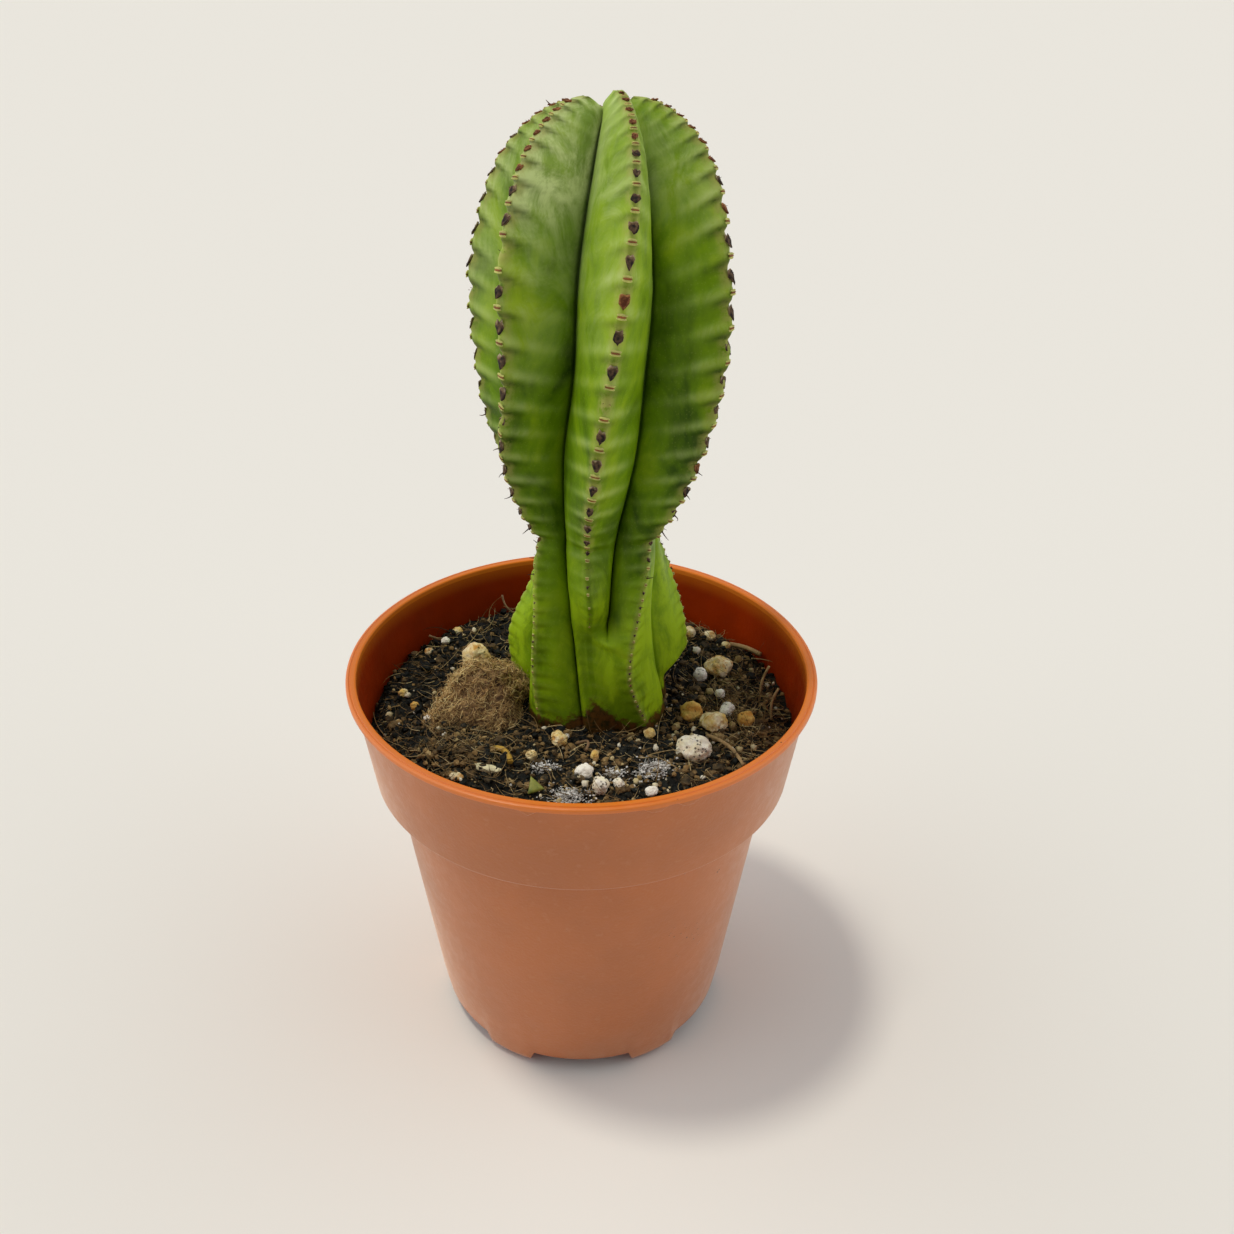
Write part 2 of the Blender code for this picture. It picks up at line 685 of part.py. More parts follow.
def build_straws(parts, cutters):
    pockets = []
    for name, start, end, rise, bow, radius in STRAWS:
        points = straw_points(start, end, rise, bow, radius)
        tube(points, radius, parts, name, material("dry_straw", 0.8))
        first = Vector(points[0])
        last = Vector(points[-1])
        longer = [tuple(first + (first - Vector(points[1])).normalized() * POCKET_GAP)]
        longer += points[1:-1]
        longer.append(tuple(last + (last - Vector(points[-2])).normalized() * POCKET_GAP))
        pockets.append(tube(longer, radius + POCKET_GAP * STRAW_GAP_SHARE, cutters, name + "_pocket", None))
    return pockets


def build_sliver(parts, cutters):
    place = Vector(SLIVER_PLACE) * mix_radius()
    centre = (place.x, place.y, mix_height(place.x, place.y) + SLIVER_SIZE[2] * SLIVER_RISE)
    sliver = lump(centre, SLIVER_SIZE, SLIVER_TURN, CLUMP_UNEVENNESS, 52, 0.0)
    add_object("bark_sliver", sliver, parts, material("pumice", 0.85), 60.0)
    pocket = lump(centre, SLIVER_SIZE, SLIVER_TURN, CLUMP_UNEVENNESS, 52, POCKET_GAP)
    return add_object("bark_sliver_pocket", pocket, cutters)


def leaf_shape(centre, extra):
    """A thin three-cornered scrap that leans back."""
    shape = bmesh.new()
    bmesh.ops.create_cone(shape, cap_ends=True, segments=3, radius1=0.5, radius2=0.5, depth=1.0)
    width = LEAF_WIDTH + extra * 4.0
    length = LEAF_LENGTH + extra * 4.0
    size = Matrix.Diagonal((width, length, LEAF_THICKNESS + extra * 2.0, 1.0))
    lean = Matrix.Rotation(math.radians(LEAF_LEAN), 4, "X")
    twist = Matrix.Rotation(math.radians(LEAF_TWIST), 4, "Z")
    bmesh.ops.transform(shape, matrix=Matrix.Translation(centre) @ lean @ twist @ size, verts=shape.verts)
    return shape


def build_leaf(parts, cutters):
    place = Vector(LEAF_PLACE) * mix_radius()
    centre = (place.x, place.y, mix_height(place.x, place.y) + LEAF_LENGTH * LEAF_RISE)
    add_object("leaf_scrap", leaf_shape(centre, 0.0), parts, material("green_scrap", 0.6), 30.0)
    return add_object("leaf_scrap_pocket", leaf_shape(centre, POCKET_GAP), cutters)


def build():
    clear_scene()
    parts = new_collection("potted_euphorbia")
    cutters = new_collection("cutters")
    build_pot(parts, cutters)
    build_stem(parts)
    mix = build_mix(parts)
    cut(mix, stem_seat_cutter(cutters))
    cut(mix, build_clump(parts, cutters))
    cut(mix, build_sliver(parts, cutters))
    cut(mix, build_leaf(parts, cutters))
    for pocket in build_grit(parts, cutters) + build_straws(parts, cutters):
        cut(mix, pocket)


build()
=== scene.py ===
import math
import random

import bmesh
import bpy
from mathutils import Matrix, Vector, noise


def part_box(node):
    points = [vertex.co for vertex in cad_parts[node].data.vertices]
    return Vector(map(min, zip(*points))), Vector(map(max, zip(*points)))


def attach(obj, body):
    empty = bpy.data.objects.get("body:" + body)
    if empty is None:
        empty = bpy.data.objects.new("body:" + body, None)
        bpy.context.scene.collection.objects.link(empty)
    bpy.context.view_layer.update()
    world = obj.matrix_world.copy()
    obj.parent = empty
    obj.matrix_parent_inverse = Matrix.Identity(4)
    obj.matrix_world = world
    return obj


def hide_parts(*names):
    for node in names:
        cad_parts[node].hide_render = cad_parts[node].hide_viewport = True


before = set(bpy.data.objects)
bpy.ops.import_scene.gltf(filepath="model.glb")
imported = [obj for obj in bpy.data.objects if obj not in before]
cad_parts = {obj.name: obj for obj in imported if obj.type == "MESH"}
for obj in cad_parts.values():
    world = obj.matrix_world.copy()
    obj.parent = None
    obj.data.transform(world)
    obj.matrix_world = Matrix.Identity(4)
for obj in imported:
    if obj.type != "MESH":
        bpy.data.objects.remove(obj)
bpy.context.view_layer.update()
potLow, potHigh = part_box("pot")
stemLow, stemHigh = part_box("euphorbia_stem")
rimRadius = potHigh.x
rimHeight = potHigh.z
headspace = 0.0110  # from the rim down to the mix
mixLevel = rimHeight - headspace
print("frame loaded:", len(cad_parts), "nodes")


# small helpers

def meshOf(shape, name):
    mesh = bpy.data.meshes.new(name)
    shape.to_mesh(mesh)
    shape.free()
    return mesh


def addObject(name, content):
    made = bpy.data.objects.new(name, content)
    bpy.context.scene.collection.objects.link(made)
    return made


def toObject(name, shape, finish, nodes=()):
    mesh = meshOf(shape, name)
    mesh.shade_smooth()
    mesh.materials.append(finish)
    made = addObject(name, mesh)
    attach(made, "root")
    if nodes:
        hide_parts(*nodes)
    return made


def smoothStep(low, high, value):
    share = min(1.0, max(0.0, (value - low) / (high - low)))
    return share * share * (3.0 - 2.0 * share)


def blend(first, second, share):
    return first + (second - first) * share


def hump(off, width):
    # 1 in the middle, falling away on both sides
    return math.exp(-(off / width) ** 2)


def onBearing(bearing, distance):
    # 0 degrees is the front, 90 the right
    angle = math.radians(bearing)
    return Vector((distance * math.sin(angle), -distance * math.cos(angle), 0.0))


def along(places, values, at):
    # a smooth line through a few values, with slopes taken from their neighbours
    at = min(max(at, places[0]), places[-1])
    upper = next(i for i in range(1, len(places)) if at <= places[i])
    lower = upper - 1
    before = max(lower - 1, 0)
    after = min(upper + 1, len(places) - 1)
    span = places[upper] - places[lower]
    startSlope = (values[upper] - values[before]) / (places[upper] - places[before])
    endSlope = (values[after] - values[lower]) / (places[after] - places[lower])
    t = (at - places[lower]) / span
    level = (1.0 + 2.0 * t) * (1.0 - t) ** 2 * values[lower] + t * t * (3.0 - 2.0 * t) * values[upper]
    return level + span * (t * (1.0 - t) ** 2 * startSlope - t * t * (1.0 - t) * endSlope)


def wobble(place, size, seed=0.0):
    # smooth noise from -1 to 1 with features of that size
    return noise.noise(Vector(place) / size + Vector((seed, seed * 1.7, -seed)))


def spun(shape, line, steps, merge):
    # turns a line of vertices once round the z axis
    edges = [shape.edges.new(pair) for pair in zip(line[:-1], line[1:])]
    bmesh.ops.spin(shape, geom=line + edges, cent=(0, 0, 0), axis=(0, 0, 1), angle=math.tau, steps=steps,
                   use_merge=True)
    bmesh.ops.remove_doubles(shape, verts=shape.verts, dist=merge)


# node helpers

def paint(red, green, blue):
    # display values out of 255 to the linear colour that a shader takes
    return tuple(((v / 255.0 + 0.055) / 1.055) ** 2.4 if v > 10 else v / 3295.0 for v in (red, green, blue))


def painted(colours):
    return {name: paint(*value) for name, value in colours.items()}


def dimmed(colour, share):
    return tuple(c * share for c in colour)


def newFinish(name, roughness):
    made = bpy.data.materials.new(name)
    made.use_nodes = True
    shader = made.node_tree.nodes["Principled BSDF"]
    shader.inputs["Roughness"].default_value = roughness
    return made, made.node_tree, shader


def addNode(tree, kind, sources=None, **values):
    made = tree.nodes.new(kind)
    for key, value in values.items():
        if key in made.inputs:
            made.inputs[key].default_value = value
        else:
            setattr(made, key, value)
    for key, source in (sources or {}).items():
        tree.links.new(source, made.inputs[key])
    return made


def objectPlace(tree):
    return addNode(tree, "ShaderNodeTexCoord").outputs["Object"]


def noiseOf(tree, place, scale, detail=3.0, roughness=0.55, distortion=0.0):
    made = addNode(tree, "ShaderNodeTexNoise", {"Vector": place}, Scale=scale, Detail=detail)
    made.inputs["Roughness"].default_value = roughness
    made.inputs["Distortion"].default_value = distortion
    return made.outputs["Fac"]


def attribute(tree, name):
    return addNode(tree, "ShaderNodeAttribute", attribute_name=name).outputs["Fac"]


def ranged(tree, source, low, high, newLow=0.0, newHigh=1.0, smooth=True):
    made = addNode(tree, "ShaderNodeMapRange", {"Value": source})
    made.interpolation_type = "SMOOTHSTEP" if smooth else "LINEAR"
    made.inputs["From Min"].default_value = low
    made.inputs["From Max"].default_value = high
    made.inputs["To Min"].default_value = newLow
    made.inputs["To Max"].default_value = newHigh
    return made.outputs["Result"]


def maths(tree, operation, first, second=None, clamp=False):
    made = tree.nodes.new("ShaderNodeMath")
    made.operation = operation
    made.use_clamp = clamp
    for index, value in enumerate((first, second)):
        if isinstance(value, (int, float)):
            made.inputs[index].default_value = value
        elif value is not None:
            tree.links.new(value, made.inputs[index])
    return made.outputs["Value"]


def times(tree, first, second, clamp=False):
    return maths(tree, "MULTIPLY", first, second, clamp)


def plus(tree, first, second, clamp=False):
    return maths(tree, "ADD", first, second, clamp)


def minus(tree, first, second, clamp=False):
    return maths(tree, "SUBTRACT", first, second, clamp)


def mixed(tree, share, first, second, way="MIX"):
    made = tree.nodes.new("ShaderNodeMix")
    made.data_type = "RGBA"
    made.blend_type = way
    for index, value in ((0, share), (6, first), (7, second)):
        if isinstance(value, (int, float)):
            made.inputs[index].default_value = value
        elif isinstance(value, tuple):
            made.inputs[index].default_value = (*value, 1.0)
        else:
            tree.links.new(value, made.inputs[index])
    return made.outputs[2]


def ramp(tree, source, *stops):
    made = tree.nodes.new("ShaderNodeValToRGB")
    elements = made.color_ramp.elements
    elements.remove(elements[1])
    elements[0].position = stops[0][0]
    elements[0].color = (*stops[0][1], 1.0)
    for place, colour in stops[1:]:
        elements.new(place).color = (*colour, 1.0)
    tree.links.new(source, made.inputs["Fac"])
    return made.outputs["Color"]


def bumped(tree, shader, height, strength, distance, under=None):
    made = addNode(tree, "ShaderNodeBump", {"Height": height}, Strength=strength, Distance=distance)
    if under:
        tree.links.new(under, made.inputs["Normal"])
    tree.links.new(made.outputs["Normal"], shader.inputs["Normal"])
    return made.outputs["Normal"]


# scatter of many small low shapes

def roundTemplate(rings):
    shape = bmesh.new()
    shape.verts.layers.float.new("tone")
    bmesh.ops.create_icosphere(shape, subdivisions=rings, radius=1.0)
    return meshOf(shape, "roundTemplate")


def strandTemplate(joints=4):
    # a straight three-sided strand from z 0 to 1
    shape = bmesh.new()
    shape.verts.layers.float.new("tone")
    lift = Matrix.Translation((0.0, 0.0, 0.5))
    bmesh.ops.create_cone(shape, cap_ends=True, segments=3, radius1=1.0, radius2=0.45, depth=1.0,
                          matrix=lift)
    sides = [e for e in shape.edges if abs(e.verts[0].co.z - e.verts[1].co.z) > 0.5]
    bmesh.ops.subdivide_edges(shape, edges=sides, cuts=joints, use_grid_fill=True)
    return meshOf(shape, "strandTemplate")


def scatter(count, template, settle):
    # settle(vertices, toneLayer, index) puts each copy in its place; batches keep it quick
    whole = bmesh.new()
    batchSize = 150
    for first in range(0, count, batchSize):
        batch = bmesh.new()
        for index in range(first, min(first + batchSize, count)):
            before = len(batch.verts)
            batch.from_mesh(template)
            batch.verts.ensure_lookup_table()
            settle(batch.verts[before:], batch.verts.layers.float["tone"], index)
        mesh = meshOf(batch, "batch")
        whole.from_mesh(mesh)
        bpy.data.meshes.remove(mesh)
    return whole


def layStrand(vertices, toneLayer, start, heading, upward, length, radius, curl, tone):
    # bends a strand that starts there, leaves along the heading and curls to its side
    heading = heading.normalized()
    side = heading.cross(upward).normalized()
    over = side.cross(heading)
    for vertex in vertices:
        share = vertex.co.z
        bend = math.sin(share * math.pi * 0.9) * curl * length
        place = start + heading * (share * length) + side * bend + over * (abs(curl) * 0.3 * bend)
        thin = radius * (1.0 - 0.4 * share)
        vertex.co = place + side * (vertex.co.x * thin) + over * (vertex.co.y * thin)
        vertex[toneLayer] = tone


def layCrumb(vertices, toneLayer, place, size, flat, draw, tone):
    turn = Matrix.Rotation(draw.uniform(0.0, math.tau), 3, "Z")
    turn = turn @ Matrix.Rotation(draw.uniform(-0.6, 0.6), 3, "X")
    stretch = draw.uniform(0.6, 1.0)
    for vertex in vertices:
        rough = draw.uniform(0.72, 1.25)
        body = Vector((vertex.co.x, vertex.co.y * stretch, vertex.co.z * flat)) * (size * rough)
        vertex.co = turn @ body + place
        vertex[toneLayer] = min(1.0, max(0.0, tone + draw.uniform(-0.08, 0.08)))


def copyOf(nodeName, cuts, smoothing=1.0):
    # a finer copy of a CAD node, as a bmesh
    shape = bmesh.new()
    shape.from_mesh(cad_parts[nodeName].data)
    bmesh.ops.remove_doubles(shape, verts=shape.verts, dist=0.000004)
    if cuts:
        bmesh.ops.subdivide_edges(shape, edges=shape.edges, cuts=cuts, smooth=smoothing,
                                  use_grid_fill=True)
        bmesh.ops.triangulate(shape, faces=[f for f in shape.faces if len(f.verts) > 3])
    bmesh.ops.recalc_face_normals(shape, faces=shape.faces)
    shape.normal_update()
    return shape


# pot

pot = {
    "steps": 192,
    "rimDepth": 0.0012,
    "rimOverhang": 0.0015,
    "rimLand": 0.0020,
    "wall": 0.0008,
    "floor": 0.0010,
    "collarDepth": 0.0247,
    "collarTaper": 0.0031,
    "collarStep": 0.0043,
    "bodyTaper": 0.0091,
    "footCorner": 0.0034,
    "footHeight": 0.0026,
    "footWidth": 0.0020,
    "notches": 6,
    "notchHalf": 20.5,  # degrees
    "notchRise": 0.0046,
    # flash under the rim: bearing and half width in degrees
    "tabs": ((-11.5, 0.9), (16.0, 0.8), (23.5, 1.0)),
    "tabDrop": 0.0011,
    "lip": 0.00035,
    "outOfRound": 0.0012,
    "drain": 0.0050,
    "sideDrain": 0.0035,
    "drainRing": 0.0210,
    "creaseAngle": 38,
    "splash": (0.0228, -0.0338, 0.0400),
    "splashReach": 0.0105,
}

potColours = painted({
    "outside": (190, 100, 24),
    # painted highlight: the top of the rim is lighter than the rest of the plastic
    "rim": (222, 118, 30),
    # painted shade: the inside of the pot is a darker, redder copy of the same plastic
    "inside": (172, 52, 0),
    "dust": (206, 150, 112),
    "dirt": (52, 30, 16),
    "scuff": (224, 190, 165),
})

collarTop = rimRadius - pot["rimOverhang"]
collarFoot = collarTop - pot["collarTaper"]
bodyTop = collarFoot - pot["collarStep"]
bodyFoot = bodyTop - pot["bodyTaper"]
ledgeHeight = rimHeight - pot["collarDepth"]


def innerRadius(height):
    if height > ledgeHeight + pot["wall"]:
        share = (rimHeight - height) / pot["collarDepth"]
        return collarTop - pot["collarTaper"] * share - pot["wall"]
    share = (ledgeHeight - height) / ledgeHeight
    return bodyTop - pot["bodyTaper"] * share - pot["wall"]


def cornerArc(centre, radius, first, last, steps):
    points = []
    for step in range(steps + 1):
        angle = math.radians(blend(first, last, step / steps))
        points.append((centre[0] + radius * math.cos(angle), centre[1] + radius * math.sin(angle)))
    return points


def evenly(first, last, steps):
    shares = [step / steps for step in range(1, steps)]
    return [(blend(first[0], last[0], share), blend(first[1], last[1], share)) for share in shares]


def potOutline():
    wall = pot["wall"]
    lip = pot["lip"]
    rimFoot = rimHeight - pot["rimDepth"]
    innerFloor = pot["footHeight"] + pot["floor"]
    corner = pot["footCorner"]
    inside = [(0.0, innerFloor), (bodyFoot - wall - corner, innerFloor)]
    inside += cornerArc((bodyFoot - wall - corner, innerFloor + corner), corner, -85, -4, 5)
    inside.append((innerRadius(ledgeHeight), ledgeHeight + wall))
    inside.append((innerRadius(ledgeHeight + wall * 1.01), ledgeHeight + wall))
    inside.append((collarTop - wall, rimHeight - 0.0016))
    lipInner = rimRadius - pot["rimLand"] - pot["rimOverhang"] * 0.2
    rim = cornerArc((lipInner + lip, rimHeight - lip), lip, 180, 90, 3)
    rim += [(rimRadius - 0.00105, rimHeight), (rimRadius - 0.00090, rimHeight - 0.00018)]
    rim += [(rimRadius - 0.00072, rimHeight - 0.00018), (rimRadius - 0.00060, rimHeight - 0.00003)]
    rim += cornerArc((rimRadius - lip, rimHeight - lip - 0.0001), lip, 80, 0, 3)
    rim += cornerArc((rimRadius - lip * 0.7, rimFoot + lip * 0.7), lip * 0.7, -10, -85, 3)
    collar = [(collarTop + 0.0001, rimFoot), (collarTop, rimFoot - 0.0003)]
    collar += evenly(collar[-1], (collarFoot, ledgeHeight + 0.0006), 6)
    ledge = cornerArc((collarFoot - 0.0007, ledgeHeight + 0.0007), 0.0007, 0, -80, 4)
    ledge.append((bodyTop + 0.0006, ledgeHeight - 0.0001))
    ledge += [(bodyTop + 0.0001, ledgeHeight - 0.0004), (bodyTop, ledgeHeight - 0.0010)]
    body = evenly(ledge[-1], (bodyFoot + 0.0004, corner), 8)
    foot = cornerArc((bodyFoot + 0.0003 - corner, corner), corner, -5, -90, 8)
    footInside = foot[-1][0] - pot["footWidth"]
    under = [(footInside, 0.0), (footInside - 0.0004, pot["footHeight"]), (0.0, pot["footHeight"])]
    return inside + rim + collar + ledge + body + foot + under


def buildPot(finish):
    shape = bmesh.new()
    line = [shape.verts.new((radius, 0.0, height)) for radius, height in potOutline()]
    spun(shape, line, pot["steps"], 0.000002)
    pitch = 360.0 / pot["notches"]
    for vertex in shape.verts:
        x, y, z = vertex.co
        radius = math.hypot(x, y)
        bearing = math.degrees(math.atan2(x, -y))
        if z < pot["notchRise"] and radius > bodyFoot - pot["footCorner"] - pot["footWidth"] - 0.001:
            off = abs((bearing + pitch / 2.0) % pitch - pitch / 2.0)
            opened = 1.0 - smoothStep(pot["notchHalf"] - 1.0, pot["notchHalf"] + 1.0, off)
            vertex.co.z = max(z, pot["notchRise"] * opened)
        if radius > collarTop + 0.00005 and z < rimHeight - pot["rimDepth"] * 0.6:
            for middle, half in pot["tabs"]:
                tab = 1.0 - smoothStep(half, half + 0.9, abs(bearing - middle))
                vertex.co.z -= pot["tabDrop"] * tab
        # a thin moulded wall is never quite round
        oval = math.sin(math.radians(bearing * 2.0 + 40.0))
        swell = 1.0 + pot["outOfRound"] * oval * smoothStep(0.02, 0.09, z)
        vertex.co.x = min(max(vertex.co.x * swell, -rimRadius), rimRadius)
        vertex.co.y = min(max(vertex.co.y * swell, -rimRadius), rimRadius)
    bmesh.ops.recalc_face_normals(shape, faces=shape.faces)
    made = toObject("potShell", shape, finish, ["pot"])
    drill = bmesh.new()
    holes = [(0.0, 0.0, pot["drain"])]
    holes += [(*onBearing(pitch * i, pot["drainRing"]).xy, pot["sideDrain"]) for i in range(pot["notches"])]
    for x, y, radius in holes:
        spot = Matrix.Translation((x, y, pot["footHeight"]))
        bmesh.ops.create_cone(drill, cap_ends=True, segments=32, radius1=radius, radius2=radius,
                              depth=0.012, matrix=spot)
    cutter = addObject("drill", meshOf(drill, "drill"))
    cut = made.modifiers.new("holes", "BOOLEAN")
    cut.object = cutter
    cut.solver = "EXACT"
    bpy.context.view_layer.update()
    graph = bpy.context.evaluated_depsgraph_get()
    drilled = bpy.data.meshes.new_from_object(made.evaluated_get(graph))
    made.modifiers.clear()
    made.data = drilled
    drilled.name = "potShell"
    bpy.data.objects.remove(cutter, do_unlink=True)
    drilled.set_sharp_from_angle(angle=math.radians(pot["creaseAngle"]))


def potFinish():
    made, tree, shader = newFinish("terracottaPlastic", 0.42)
    place = objectPlace(tree)
    xyz = addNode(tree, "ShaderNodeSeparateXYZ", {"Vector": place})
    z = xyz.outputs["Z"]
    squares = [maths(tree, "POWER", xyz.outputs[axis], 2.0) for axis in ("X", "Y")]
    radius = maths(tree, "SQRT", plus(tree, *squares))
    # how far the spot lies from the middle of the wall tells the inside from the outside
    halfWall = pot["wall"] / 2.0
    collarSlope = pot["collarTaper"] / pot["collarDepth"]
    collarMiddle = plus(tree, times(tree, z, collarSlope), collarTop - halfWall - rimHeight * collarSlope)
    bodySlope = pot["bodyTaper"] / ledgeHeight
    bodyMiddle = plus(tree, times(tree, z, bodySlope), bodyTop - halfWall - pot["bodyTaper"])
    onCollar = ranged(tree, z, ledgeHeight + 0.0003, ledgeHeight + 0.0005)
    middle = plus(tree, times(tree, collarMiddle, onCollar),
                  times(tree, bodyMiddle, minus(tree, 1.0, onCollar)))
    outside = ranged(tree, minus(tree, radius, middle), -0.0002, 0.0002)
    cloudy = noiseOf(tree, place, 26.0, 4.0, 0.6)
    fine = noiseOf(tree, place, 420.0, 3.0, 0.65)
    outer, inner = potColours["outside"], potColours["inside"]
    outer = mixed(tree, ranged(tree, cloudy, 0.35, 0.7), outer, dimmed(outer, 0.86))
    outer = mixed(tree, ranged(tree, fine, 0.52, 0.78, 0.0, 0.20), outer, potColours["dust"])
    # painted shade inside the pot: darker in cloudy patches and further down from the lip, lighter towards
    # the lip
    inner = mixed(tree, ranged(tree, cloudy, 0.3, 0.7), inner, dimmed(inner, 0.6))
    litNearLip = ranged(tree, z, rimHeight - 0.005, rimHeight - 0.0008, 0.0, 0.50)
    inner = mixed(tree, litNearLip, inner, potColours["rim"])
    colour = mixed(tree, outside, inner, outer)
    # painted highlight along the top of the rim
    rimFoot = rimHeight - pot["rimDepth"]
    rim = ranged(tree, z, rimFoot - 0.0002, rimFoot + 0.0001)
    colour = mixed(tree, rim, colour, potColours["rim"])
    # dust gathers towards the foot
    low = ranged(tree, z, 0.020, 0.0, 0.0, 0.35)
    dusty = times(tree, low, ranged(tree, noiseOf(tree, place, 70.0, 5.0, 0.7), 0.4, 0.7))
    colour = mixed(tree, dusty, colour, potColours["dust"])
    # specks of dried mud: a splash on the right of the front and a few strays
    specks = addNode(tree, "ShaderNodeTexVoronoi", {"Vector": place}, Scale=900.0).outputs["Distance"]
    speck = ranged(tree, specks, 0.26, 0.14)
    clump = noiseOf(tree, place, 300.0, 2.0, 0.6)
    spot = addNode(tree, "ShaderNodeVectorMath", {0: place}, operation="DISTANCE")
    spot.inputs[1].default_value = pot["splash"]
    splash = ranged(tree, spot.outputs["Value"], pot["splashReach"], 0.001)
    splash = times(tree, splash, ranged(tree, clump, 0.42, 0.62))
    stray = ranged(tree, noiseOf(tree, place, 150.0, 2.0, 0.5), 0.70, 0.76)
    muddy = times(tree, speck, plus(tree, splash, stray, True), True)
    muddy = times(tree, muddy, outside)
    colour = mixed(tree, times(tree, muddy, 0.85), colour, potColours["dirt"])
    # pale scuffs
    scuffPlace = addNode(tree, "ShaderNodeMapping", {"Vector": place})
    scuffPlace.inputs["Scale"].default_value = (1.0, 1.0, 3.4)
    scuff = noiseOf(tree, scuffPlace.outputs["Vector"], 115.0, 6.0, 0.75, 1.5)
    scuff = ranged(tree, scuff, 0.70, 0.78, 0.0, 0.5)
    colour = mixed(tree, times(tree, scuff, outside), colour, potColours["scuff"])
    tree.links.new(colour, shader.inputs["Base Color"])
    rough = ranged(tree, fine, 0.3, 0.75, 0.34, 0.52)
    rough = plus(tree, rough, times(tree, muddy, 0.4), True)
    tree.links.new(rough, shader.inputs["Roughness"])
    tree.links.new(ranged(tree, outside, 0.0, 1.0, 0.15, 0.65), shader.inputs["Specular IOR Level"])
    sheen = times(tree, minus(tree, outside, rim, True), 0.50)
    tree.links.new(sheen, shader.inputs["Sheen Weight"])
    shader.inputs["Sheen Roughness"].default_value = 0.40
    shader.inputs["Sheen Tint"].default_value = (1.0, 0.88, 0.74, 1.0)
    grain = noiseOf(tree, place, 1500.0, 2.0, 0.5)
    sway = noiseOf(tree, place, 90.0, 2.0, 0.5)
    under = bumped(tree, shader, plus(tree, times(tree, sway, 3.0), grain), 0.12, 0.0004)
    bumped(tree, shader, muddy, 0.5, 0.0003, under)
    return made


# stem

